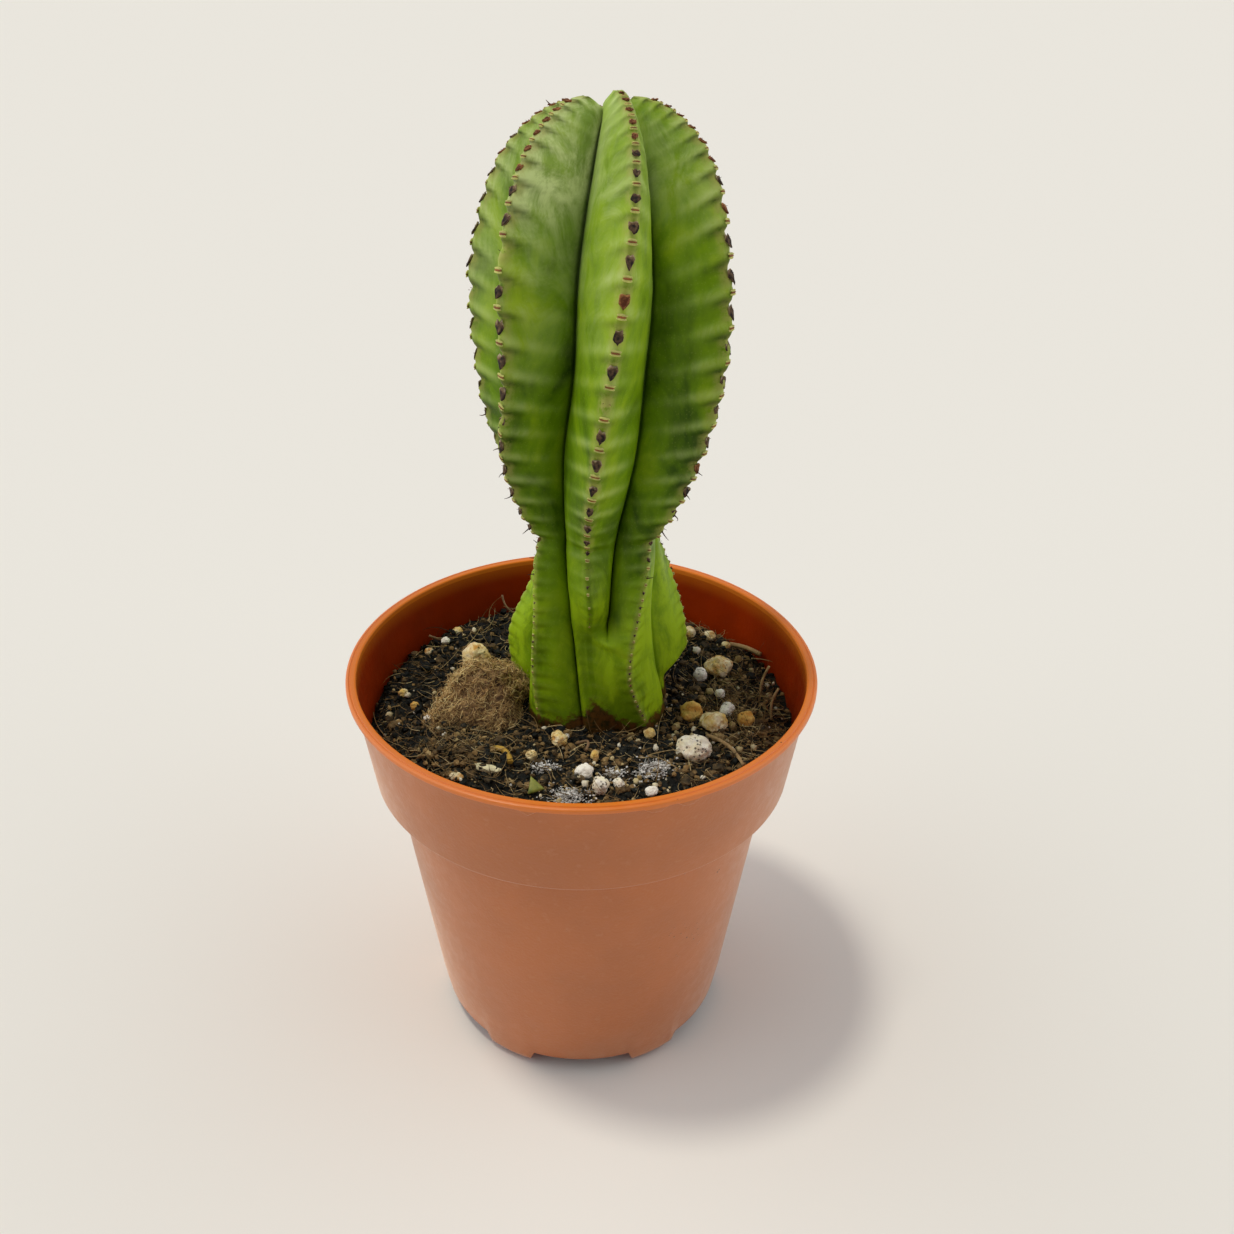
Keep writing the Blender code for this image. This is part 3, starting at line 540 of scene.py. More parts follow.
stem = {
    "place": (0.0042, 0.0060),
    "height": stemHigh.z - mixLevel + 0.0011,  # the scaly tip stands a little over the plain stem
    "bellyRadius": 0.0276,
    "bellyHeight": 0.0950,
    "bellyGroove": 0.0138,
    "waistRadius": 0.0149,
    "waistHeight": 0.0430,
    "waistGroove": 0.0104,
    "baseRadius": 0.0205,
    "baseGroove": 0.0166,
    "crownRadius": 0.0050,
    "crownDip": 0.0044,
    "crownLean": 0.0008,
    "buried": 0.012,
    "ringStep": 0.00046,
    "domeRings": 64,
    "ridgeHalf": 0.00085,
    "bulge": 0.0012,
    "fold": 0.00025,
    "slit": 0.0005,
    "ledge": 0.0225,  # where the front rib and the groove beside it end
    "heights": (0.0, 0.014, 0.028, 0.042, 0.060, 0.080, 0.105, 0.129),
    "crests": {
        "farLeft": (-95, -96, -98, -100, -106, -104, -99, -100),
        "left": (-41, -47, -49, -58, -58, -46, -47, -56),
        "front": (-6, -6, -7, -11, -5, 1, 9, 17),
        "right": (32, 18, 24, 41, 56, 58, 63, 78),
        "farRight": (98, 100, 104, 112, 122, 128, 130, 133),
        "back": (178, 180, 182, 184, 186, 188, 190, 191),
    },
    "grooves": {  # each one follows the rib of the same name
        "farLeft": (-70, -72, -74, -80, -82, -75, -73, -79),
        "left": (-13, -22, -34, -45, -40, -25, -20, -15),
        "front": (6, 4, 8, 16, 31, 38, 42, 38),
        "right": (64, 60, 68, 80, 90, 94, 97, 106),
        "farRight": (138, 140, 143, 148, 154, 158, 160, 162),
        "back": (222, 222, 222, 222, 220, 222, 226, 226),
    },
    "reaches": {
        "farLeft": (0.96, 1.04, 0.84, 0.80, 1.03, 1.01, 0.970, 1.04),
        "left": (1.00, 1.00, 1.00, 1.02, 1.01, 0.99, 0.99, 1.02),
        "front": (1.00, 1.00, 1.00, 1.00, 1.00, 1.00, 1.00, 1.00),
        "right": (1.00, 1.00, 1.00, 0.99, 0.99, 1.015, 0.985, 1.03),
        "farRight": (1.00, 1.00, 0.90, 0.80, 1.03, 1.01, 0.97, 0.95),
        "back": (1.00, 1.00, 1.00, 1.00, 1.00, 1.00, 1.00, 0.98),
    },
    "tops": {"farLeft": 0.0022, "left": 0.0012, "front": 0.0, "right": 0.0016, "farRight": 0.0036,
             "back": 0.0042},
    "frontFace": (0.30, 0.62),  # where the buried front rib and groove lie on the face under the ledge
    "frontSwell": 0.0012,
    "footIn": 0.33,
    "footInBand": (0.0060, 0.0092),
    # bands of height over the mix in which each trait comes in
    "foldBand": (0.045, 0.085),
    "slantBand": (0.045, 0.112),
    "slants": (0.25, 0.95),
    "markedBand": (0.028, 0.060),
    "waxBands": ((0.074, 0.106), (0.105, 0.119)),
    "sunnyBand": (0.070, 0.092),
    "topBand": (0.112, 0.129),
    "teethGrown": 0.075,
    "waviness": ((0.00035, 0.016, 3.0), (0.00012, 0.0045, 8.0)),  # depth, size and seed
    "scars": ((0.0046, -3.0, 13.0), (0.0060, 92.0, 26.0)),  # bark: height, bearing and half width
    "scarRagged": 0.0012,
    "flankShares": (0.05, 0.12, 0.21, 0.31, 0.42, 0.54, 0.66, 0.77, 0.86, 0.93, 0.975),
    "toothPitch": (0.0030, 0.0066, 0.0026),  # at the foot, on the belly and at the crown
    "toothRise": (0.00026, 0.00078, 0.00050),
    # one tooth going up a ridge: the eye at 0, the shield's tip at 0.26, its top at 0.62
    "toothSteps": (0.0, 0.10, 0.19, 0.27, 0.45, 0.62, 0.76, 0.90, 1.0),
    "toothOuts": (0.42, 0.20, 0.10, 0.36, -0.15, -0.85, -0.15, 0.25, 0.42),
    "toothPhases": (0.1, 0.55, 0.3, 0.8, 0.05, 0.45),
    # bloom on the belly and at the crown, for the two flanks of each groove in turn; flanks that face the
    # light from the left get more, as painted light
    "waxAndLight": ((0.4, 0.5), (0.60, 0.6), (0.42, 1.15), (0.40, 0.25), (0.15, 0.3), (0.05, 0.40),
            (0.3, 0.4), (0.3, 0.4), (0.4, 0.4), (0.4, 0.4), (0.4, 0.4), (0.4, 0.5)),
}

ribNames = list(stem["crests"])
ribCount = len(ribNames)
frontRib = ribNames.index("front")
axisFoot = Vector((*stem["place"], mixLevel))
perRib = 2 * (2 + len(stem["flankShares"])) + 2


def crestRadius(height):
    waist = stem["waistHeight"]
    if height < waist:
        share = max(0.0, height) / waist
        return blend(stem["baseRadius"], stem["waistRadius"], share ** 2.8)
    share = min(1.0, (height - waist) / (stem["bellyHeight"] - waist))
    return blend(stem["waistRadius"], stem["bellyRadius"], math.sin(share ** 0.75 * math.pi / 2.0))


def grooveRadius(height):
    waist = stem["waistHeight"]
    if height < waist:
        share = 1.0 - max(0.0, height) / waist
        return blend(stem["waistGroove"], stem["baseGroove"], share ** 1.6)
    share = min(1.0, (height - waist) / (stem["bellyHeight"] - waist))
    return blend(stem["waistGroove"], stem["bellyGroove"], math.sin(share * math.pi / 2.0))


def overLedge(height, below, above):
    return smoothStep(stem["ledge"] - below, stem["ledge"] + above, height)


def openedAt(height):
    # 0 under the ledge, where the groove beside the front rib has ended
    return overLedge(height, 0.0006, 0.0020)


def leanAt(height):
    return stem["crownLean"] * smoothStep(stem["bellyHeight"], stem["height"], height)


def dome(share):
    return math.sqrt(max(0.0, 1.0 - min(1.0, share) ** 1.5))


def stemStations():
    # each ring: height for the ribs, crest radius and height, groove radius and height
    stations = []
    rings = round((stem["bellyHeight"] + stem["buried"]) / stem["ringStep"])
    for ring in range(rings):
        height = blend(-stem["buried"], stem["bellyHeight"], ring / rings)
        stations.append((height, crestRadius(height), height, grooveRadius(height), height))
    domeHeight = stem["height"] - stem["bellyHeight"]
    grooveEnd = stem["crownRadius"] / 3.0
    for ring in range(stem["domeRings"] + 1):
        rise = math.sin(math.pi / 2.0 * ring / stem["domeRings"])
        crest = blend(stem["crownRadius"], stem["bellyRadius"], dome(rise))
        groove = blend(grooveEnd, stem["bellyGroove"], dome(rise))
        crestHeight = stem["bellyHeight"] + domeHeight * rise
        grooveHeight = stem["bellyHeight"] + (domeHeight - stem["crownDip"]) * rise
        stations.append((crestHeight, crest, crestHeight, groove, grooveHeight))
    middle = stem["height"] - stem["crownDip"]
    for share in (0.8, 0.55, 0.3, 0.0):
        top = blend(middle, stem["height"] - 0.0004, share)
        stations.append((stem["height"], stem["crownRadius"] * share, top, grooveEnd * share, middle))
    return stations


def crestAndGroove(station):
    # the crest and groove points of every rib at a ring, about the stem's axis
    height, crest, crestHeight, groove, grooveHeight = station
    crests, grooves = [], []
    for name in ribNames:
        reach = along(stem["heights"], stem["reaches"][name], height)
        if name == "farRight":
            # its foot is drawn in under the last lobe
            reach *= 1.0 - stem["footIn"] * (1.0 - smoothStep(*stem["footInBand"], height))
        out = onBearing(along(stem["heights"], stem["crests"][name], height), crest * reach)
        sunk = stem["tops"][name] * smoothStep(*stem["topBand"], crestHeight)
        crests.append(Vector((out.x, out.y, crestHeight - sunk)))
        low = onBearing(along(stem["heights"], stem["grooves"][name], height), groove)
        grooves.append(Vector((low.x, low.y, grooveHeight)))
    # under the ledge the front is one face, from the left groove to the right rib
    start, end = grooves[frontRib - 1], crests[frontRib + 1]
    outward = Vector((start.y - end.y, end.x - start.x, 0.0)).normalized() * -stem["frontSwell"]
    onCrest, onGroove = (start.lerp(end, share) for share in stem["frontFace"])
    lip = hump(height - stem["ledge"] + 0.0010, 0.0011)
    crests[frontRib] = (onCrest + outward * 0.65).lerp(crests[frontRib], overLedge(height, 0.003, 0.012))
    onGroove += outward * (0.50 + 0.55 * lip)
    grooves[frontRib] = onGroove.lerp(grooves[frontRib], openedAt(height))
    return crests, grooves


def pitchAt(height):
    foot, belly, crown = stem["toothPitch"]
    if height < stem["teethGrown"]:
        return blend(foot, belly, smoothStep(0.025, stem["teethGrown"], height))
    return blend(belly, crown, smoothStep(0.100, stem["height"], height))


def riseAt(height):
    foot, belly, crown = stem["toothRise"]
    if height < stem["teethGrown"]:
        return blend(foot, belly, smoothStep(0.02, stem["teethGrown"], height))
    return blend(belly, crown, smoothStep(0.105, stem["height"], height))


def layTeeth(rows):
    # phases[rib][row] counts tooth pitches up the crest
    phases = []
    for rib in range(ribCount):
        total = stem["toothPhases"][rib]
        counts = [total]
        for lower, upper in zip(rows[:-1], rows[1:]):
            step = (upper[0][rib] - lower[0][rib]).length
            total += step / pitchAt(upper[0][rib].z)
            counts.append(total)
        phases.append(counts)
    return phases


def toothShape(phase):
    return along(stem["toothSteps"], stem["toothOuts"], phase % 1.0)


def aside(phase):
    # how far a phase is from the nearest eye, -0.5 to 0.5
    return (phase + 0.5) % 1.0 - 0.5


def foldAt(height):
    return stem["fold"] * blend(0.15, 1.0, smoothStep(*stem["foldBand"], height))


def slantAt(height):
    # the folds run down and inward, steeply near the crown
    return blend(*stem["slants"], smoothStep(*stem["slantBand"], height))


def ribRing(crests, grooves, lifts, phases, height, grown, opened):
    # points round the stem, from each crest over its ridge and down the flank to the groove and up again
    ring = []
    slant = slantAt(height)
    for rib in range(ribCount):
        following = (rib + 1) % ribCount
        groove = grooves[rib]
        inward = Vector((groove.x, groove.y, 0.0))
        deep = min(1.0, inward.length / 0.006) * (opened if rib == frontRib else 1.0)
        pit = groove - inward.normalized() * (stem["slit"] * deep)
        for which, forward in ((rib, True), (following, False)):
            tip, lift, phase = crests[which], lifts[which], phases[which]
            level = Vector((tip.x, tip.y, 0.0))
            out = level.normalized() if level.length > 0.0001 else Vector((0.0, 0.0, 0.0))
            side = Vector((-out.y, out.x, 0.0)) * (1.0 if forward else -1.0)
            slim = min(1.0, (tip - groove).length / 0.006)
            half = stem["ridgeHalf"] * slim
            sharp = half * (grown if which == frontRib else 1.0)
            edge = tip + side * half - out * (sharp * 0.5)
            points = [(tip + out * lift, 1.0, phase)]
            points.append((tip + out * (lift - sharp * 0.14) + side * (half * 0.6), 1.0, phase))
            points.append((edge + out * (lift * 0.9), 0.97, phase))
            chord = groove - edge
            push = Vector((chord.y, -chord.x, 0.0)).normalized()
            if push.dot(side) < 0.0:
                push = -push
            for share in stem["flankShares"]:
                swell = stem["bulge"] * slim * math.sin(math.pi * share ** 1.25)
                swell *= blend(0.22, 1.0, opened) if rib == frontRib else 1.0
                wave = math.cos(math.tau * (phase - 0.06 + slant * share))
                fold = foldAt(height) * slim * wave * hump(share, 0.5)
                fold *= 0.35 if which == frontRib else 1.0
                raised = out * (lift * math.exp(-share / 0.15))
                points.append((edge + chord * share + push * (swell + fold) + raised, 1.0 - share, phase))
            if forward:
                ring += points + [(pit, 0.0, phase)]
            else:
                ring += list(reversed(points[1:]))
    return ring


def waxAndLightAt(rib, onto, height):
    # the pale bloom, with painted light: thickest on the flanks that face the light from the left, and
    # thicker towards the crown
    belly, crown = stem["waxAndLight"][2 * rib + (1 if onto else 0)]
    low, high = stem["waxBands"]
    return belly * smoothStep(*low, height) + crown * smoothStep(*high, height)


skinMarks = ("pale", "deep", "bloomAndLight", "cork", "warm", "scab")


def skinMarksAt(rib, onto, phase, inner, height):
    # shares of the markings at a spot: inner runs from 0 on the crest to 1 in the groove, and onto is
    # true on the flank that climbs to the next rib
    slant = slantAt(height)
    marked = smoothStep(*stem["markedBand"], height)
    sunny = (rib == frontRib and not onto) or (rib == frontRib - 1 and onto)
    shaded = (rib == frontRib - 1 and not onto) or (rib == frontRib and onto)
    # painted highlight: the lip of the ledge on the front rib is made lighter
    lip = hump(height - stem["ledge"] + 0.0002, 0.0008) if rib == frontRib else 0.0
    lip *= smoothStep(0.35, 0.7, inner)
    # pale streak along each fold: wax bloom with a painted highlight where the fold faces the light
    foldHighlight = hump(aside(phase - 0.10 + slant * inner), 0.17) * hump(inner, 0.6)
    halo = hump(aside(phase - 0.45), 0.34) * hump(inner, 0.075)
    scabby = 0.0 if sunny else 0.42
    # painted shade: a dark patch in the hollow under each fold
    foldShade = hump(aside(phase + 0.21 + slant * inner), 0.13) * hump(inner, 0.20)
    foldShade *= 0.5 if sunny else 1.0
    if height < stem["ledge"] and rib in (frontRib - 1, frontRib) and inner < 0.5:
        foldShade = 0.0
    # painted shade down the narrow groove
    grooveShade = smoothStep(0.90, 1.0, inner)
    if rib == frontRib:
        grooveShade *= openedAt(height)
    if rib == frontRib + 1:
        grooveShade *= smoothStep(0.020, 0.055, height)
    # painted shade on the flanks turned from the light, and a painted dark pocket under the ledge on the
    # front rib
    gloom = 0.07 * smoothStep(0.034, 0.052, height) * smoothStep(0.104, 0.072, height) if shaded else 0.0
    if rib == frontRib and onto:
        gloom += 0.75 * hump(height - stem["ledge"] - 0.0050, 0.0046) * smoothStep(0.1, 0.6, inner)
    lit = 0.60 if sunny else 0.85 if rib == frontRib - 2 and onto else 0.18
    return {
        "pale": foldHighlight * blend(0.15, 1.0, marked),
        "scab": blend(scabby * hump(inner, 0.024), halo, marked),
        "deep": min(1.0, foldShade * blend(0.3, 1.0, marked) + grooveShade + gloom),
        # warm is painted light: the lit flanks and the lip of the ledge
        "warm": lit * smoothStep(*stem["sunnyBand"], height) * smoothStep(0.95, 0.6, inner) + 0.5 * lip,
        "bloomAndLight": waxAndLightAt(rib, onto, height),
    }


def corkAt(point, place):
    # bark at the foot, higher at the front and on the right
    bearing = math.degrees(math.atan2(point.x, -point.y))
    scar = sum(high * hump(bearing - middle, half) for high, middle, half in stem["scars"])
    ragged = stem["scarRagged"] * wobble(place, 0.004, 12.0)
    return 1.0 - smoothStep(-0.0016, 0.0058, point.z - scar + ragged)


def stemRings(stations, rows, phases):
    rings = []
    for index, (crests, grooves) in enumerate(rows):
        height, crest = stations[index][:2]
        fade = min(1.0, crest / stem["crownRadius"])
        lifts = []
        for rib in range(ribCount):
            grown = 0.6 * overLedge(height, 0.001, 0.008) if rib == frontRib else 1.0
            lifts.append(toothShape(phases[rib][index]) * riseAt(height) * fade * grown)
        grown = overLedge(height, 0.001, 0.006)
        counted = [counts[index] for counts in phases]
        rings.append(ribRing(crests, grooves, lifts, counted, height, grown, openedAt(height)))
    return rings


def buildStem(finish):
    stations = stemStations()
    rows = [crestAndGroove(station) for station in stations]
    phases = layTeeth(rows)
    rings = stemRings(stations, rows, phases)
    shape = bmesh.new()
    for name in skinMarks:
        shape.verts.layers.float.new(name)
    marks = {name: shape.verts.layers.float[name] for name in skinMarks}
    around = len(rings[0])
    line = [shape.verts.new((1.0, 0.0, float(row))) for row in range(len(rings))]
    spun(shape, line, around, 0.001)
    for vertex in shape.verts:
        row = round(vertex.co.z)
        turn = math.atan2(vertex.co.y, vertex.co.x) / math.tau
        index = round(turn * around) % around
        point, share, phase = rings[row][index]
        place = point + Vector((leanAt(point.z), 0.0, 0.0))
        out = Vector((place.x, place.y, 0.0))
        if out.length > 0.001:
            soft = sum(depth * wobble(place, size, seed) for depth, size, seed in stem["waviness"])
            place += out.normalized() * soft
        vertex.co = axisFoot + place
        onto = index % perRib > len(stem["flankShares"]) + 3
        found = skinMarksAt(index // perRib, onto, phase, 1.0 - share, stations[row][0])
        for name, value in found.items():
            vertex[marks[name]] = value
        vertex[marks["cork"]] = corkAt(point, place)
    openEdges = [e for e in shape.edges if e.is_boundary]
    ends = bmesh.ops.holes_fill(shape, edges=openEdges, sides=0)["faces"]
    bmesh.ops.triangulate(shape, faces=ends)
    crownFloor = mixLevel + stem["height"] - stem["crownDip"] - 0.002
    crown = [v for v in shape.verts if v.co.z > crownFloor]
    bmesh.ops.remove_doubles(shape, verts=crown, dist=0.00001)
    bmesh.ops.recalc_face_normals(shape, faces=shape.faces)
    shape.normal_update()
    warm = marks["warm"]
    # painted light: sideways faces low on the stem turn lighter, as if lit from the sides, and the colour
    # lightens towards the foot
    for vertex in shape.verts:
        height = vertex.co.z - mixLevel
        low = smoothStep(0.046, 0.028, height)
        vertex[warm] += low * smoothStep(0.15, 0.75, abs(vertex.normal.x))
        vertex[warm] += 0.45 * smoothStep(0.05, 0.02, height)
    toObject("euphorbiaStem", shape, finish, ["euphorbia_stem"])
    return rings, phases


skin = painted({
    "deep": (44, 74, 0),
    "fresh": (104, 140, 0),
    "warm": (152, 180, 14),
    "bloomAndLight": (202, 216, 146),
    # painted shade colour for the grooves and hollows
    "groove": (18, 50, 0),
    "edge": (178, 190, 100),
    # lighter, yellower colour: painted light on the lit flanks and the ledge lip, and the paler foot
    "low": (150, 182, 18),
    "cork": (90, 50, 20),
    "rind": (34, 20, 10),
    "scab": (172, 168, 92),
})


def skinFinish():
    made, tree, shader = newFinish("euphorbiaSkin", 0.5)
    place = objectPlace(tree)
    z = addNode(tree, "ShaderNodeSeparateXYZ", {"Vector": place}).outputs["Z"]
    pale = attribute(tree, "pale")
    deep = attribute(tree, "deep")
    bloomAndLight = attribute(tree, "bloomAndLight")
    cork = attribute(tree, "cork")
    streaky = addNode(tree, "ShaderNodeMapping", {"Vector": place})
    streaky.inputs["Scale"].default_value = (1.0, 1.0, 0.55)
    patchy = noiseOf(tree, streaky.outputs["Vector"], 95.0, 5.0, 0.6, 0.5)
    mottle = noiseOf(tree, place, 300.0, 4.0, 0.65)
    # painted light and shade in the tone: lighter along the fold highlights, darker under the belly's
    # overhang
    shade = ranged(tree, z, mixLevel + 0.085, mixLevel + 0.040, 0.0, 0.06)
    tone = minus(tree, plus(tree, patchy, times(tree, pale, 0.12)), shade)
    tone = plus(tree, tone, times(tree, minus(tree, mottle, 0.5), 0.12))
    colour = ramp(tree, tone, (0.28, skin["deep"]), (0.50, skin["fresh"]), (0.74, skin["warm"]))
    cloud = noiseOf(tree, streaky.outputs["Vector"], 150.0, 5.0, 0.7, 0.8)
    cloud = ranged(tree, cloud, 0.34, 0.66, 0.20, 1.15)
    # pale bloom, with painted light on the flanks facing the left light and painted highlights along the
    # folds
    bloomAndHighlight = times(tree, plus(tree, bloomAndLight, times(tree, pale, 0.55)), cloud)
    colour = mixed(tree, times(tree, bloomAndHighlight, 0.66, True), colour, skin["bloomAndLight"])
    blotchy = noiseOf(tree, streaky.outputs["Vector"], 210.0, 5.0, 0.7, 0.6)
    blotchy = ranged(tree, blotchy, 0.32, 0.66, 0.22, 0.86)
    # painted light: the lit flanks, the ledge lip and the sideways faces at the foot turn lighter and
    # yellower
    colour = mixed(tree, times(tree, attribute(tree, "warm"), blotchy, True), colour, skin["low"])
    dots = addNode(tree, "ShaderNodeTexVoronoi", {"Vector": place}, Scale=1500.0).outputs["Distance"]
    colour = mixed(tree, ranged(tree, dots, 0.30, 0.12, 0.0, 0.12), colour, skin["edge"])
    # painted shade: the grooves, the fold hollows, the flanks turned from the light and the pocket under
    # the ledge darken towards the groove colour
    colour = mixed(tree, times(tree, deep, 0.85), colour, skin["groove"])
    flaky = noiseOf(tree, place, 620.0, 4.0, 0.7)
    scabby = times(tree, attribute(tree, "scab"), ranged(tree, flaky, 0.30, 0.54))
    colour = mixed(tree, times(tree, scabby, 0.80, True), colour, skin["scab"])
    # bark creeps up unevenly from the foot
    bark = mixed(tree, ranged(tree, flaky, 0.36, 0.62), skin["rind"], skin["cork"])
    creep = plus(tree, cork, times(tree, minus(tree, flaky, 0.5), 1.5))
    colour = mixed(tree, ranged(tree, creep, 0.30, 0.72, 0.0, 0.96), colour, bark)
    tree.links.new(colour, shader.inputs["Base Color"])
    tree.links.new(ranged(tree, patchy, 0.3, 0.7, 0.44, 0.60), shader.inputs["Roughness"])
    shader.inputs["Specular IOR Level"].default_value = 0.12
    pores = plus(tree, mottle, times(tree, noiseOf(tree, place, 1100.0, 2.0, 0.6), 0.5))
    bumped(tree, shader, pores, 0.22, 0.00025)
    return made


# what grows on the ridges

ridgeMarks = {
    "lowest": 0.0015,
    "bareFoot": 0.030,  # the far ribs carry none below this
    "grownFrom": 0.030,
    "grownBy": 0.055,
    "fullPitch": 0.0062,
    "width": (0.00042, 0.00108),
    "lipApart": 0.00033,
    "lip": (0.00016, 0.00012, 0.00026),  # height, what a full pitch adds to it, and depth
    "line": (0.00006, 0.00018, 0.00030),
    "thick": (0.00016, 0.00028),
    "thornLength": (0.0003, 0.0007),
    "thornRadius": 0.00010,
    "longThorn": (0.0012, 0.0016),
    "longThornRadius": 0.00020,
    "longThornsAt": 0.047,
}

ridge = painted({
    "lip": (186, 184, 98),
    "line": (132, 78, 30),
    "scaleDark": (34, 28, 24),
    "scaleMiddle": (92, 70, 50),
    "scaleLight": (142, 120, 88),
    "scalePale": (184, 172, 140),
    "rustDark": (84, 42, 20),
    "rustLight": (176, 120, 70),
    "thorn": (58, 36, 24),
    "thornBrown": (104, 64, 38),
    "thornPale": (176, 140, 92),
})


def plainFinish(name, colour, roughness, spread=0.35, scale=700.0, bump=0.4):
    made, tree, shader = newFinish(name, roughness)
    place = objectPlace(tree)
    grain = noiseOf(tree, place, scale, 4.0, 0.65)
    dark = dimmed(colour, 1.0 - spread)
    light = tuple(min(1.0, c * (1.0 + spread)) for c in colour)
    tree.links.new(ramp(tree, grain, (0.3, dark), (0.7, light)), shader.inputs["Base Color"])
    bumped(tree, shader, grain, bump, 0.0002)
    return made


def toneFinish(name, roughness, stops, scale=900.0, bump=0.5, distance=0.0002, strength=0.25):
    # colour runs along the stops with each piece's own tone, roughened by fine noise
    made, tree, shader = newFinish(name, roughness)
    grain = noiseOf(tree, objectPlace(tree), scale, 4.0, 0.65)
    stray = times(tree, minus(tree, grain, 0.5), strength)
    tone = plus(tree, attribute(tree, "tone"), stray, True)
    tree.links.new(ramp(tree, tone, *stops), shader.inputs["Base Color"])
    shader.inputs["Specular IOR Level"].default_value = 0.22
    bumped(tree, shader, grain, bump, distance)
    return made


def ridgePoint(rings, counts, rib, phase):
    # the top of a ridge at a phase, about the stem's axis
    row = next((i for i in range(1, len(counts)) if counts[i] >= phase), len(counts) - 1)
    share = (phase - counts[row - 1]) / max(1e-9, counts[row] - counts[row - 1])
    first, second = rings[row - 1][rib * perRib][0], rings[row][rib * perRib][0]
    point = first.lerp(second, min(1.0, max(0.0, share)))
    point.x += leanAt(point.z)
    return point + axisFoot


def facing(tip, top):
    # up the ridge, across it and out of it
    upward = (top - tip).normalized()
    level = Vector((tip.x - axisFoot.x, tip.y - axisFoot.y, 0.0)).normalized() + Vector((0.0, 0.0, 0.6))
    outward = (level - upward * level.dot(upward)).normalized()
    return upward, upward.cross(outward).normalized(), outward


def newCopy(shape, template):
    before = len(shape.verts)
    shape.from_mesh(template)
    shape.verts.ensure_lookup_table()
    return shape.verts[before:], shape.verts.layers.float["tone"]


def layBar(shape, template, place, axes, size, tone, draw):
    upward, side, outward = axes
    vertices, layer = newCopy(shape, template)
    for vertex in vertices:
        x, y, z = vertex.co * (1.0 + draw.uniform(-0.1, 0.1))
        vertex.co = place + side * (x * size[0]) + upward * (y * size[1]) + outward * (z * size[2])
        vertex[layer] = tone


def layShield(shape, template, tip, top, axes, width, thick, draw):
    # a dried, two-lobed scale whose lower tip stands off the ridge
    upward, side, outward = axes
    middle = (tip + top) / 2.0
    half = (top - tip).length / 2.0
    lopsided = draw.uniform(-0.26, 0.26)
    ragged = draw.uniform(0.0, math.tau)
    vertices, layer = newCopy(shape, template)
    for vertex in vertices:
        x, y, z = vertex.co
        reach = math.hypot(x, y)
        narrow = blend(0.42, 1.0, smoothStep(-1.0, 0.05, y)) * (1.0 + 0.16 * math.sin(5.0 * y + ragged))
        notch = 0.50 * hump(x - lopsided, 0.30) * smoothStep(0.0, 0.9, y)
        lift = 1.3 * smoothStep(-0.1, -1.0, y)
        lift += 0.5 * smoothStep(0.5, 1.0, abs(x)) * smoothStep(-0.3, 0.4, y)
        rough = draw.uniform(-0.16, 0.16)
        place = middle + side * ((x * narrow + lopsided * y) * width)
        place += upward * ((y - notch + rough) * half)
        vertex.co = place + outward * ((z + lift + rough * 1.5) * thick)
        edge = smoothStep(0.72, 1.0, reach) * smoothStep(-0.2, 0.5, y)
        vertex[layer] = min(1.0, max(0.0, 0.18 + 0.60 * edge + draw.uniform(-0.22, 0.28)))


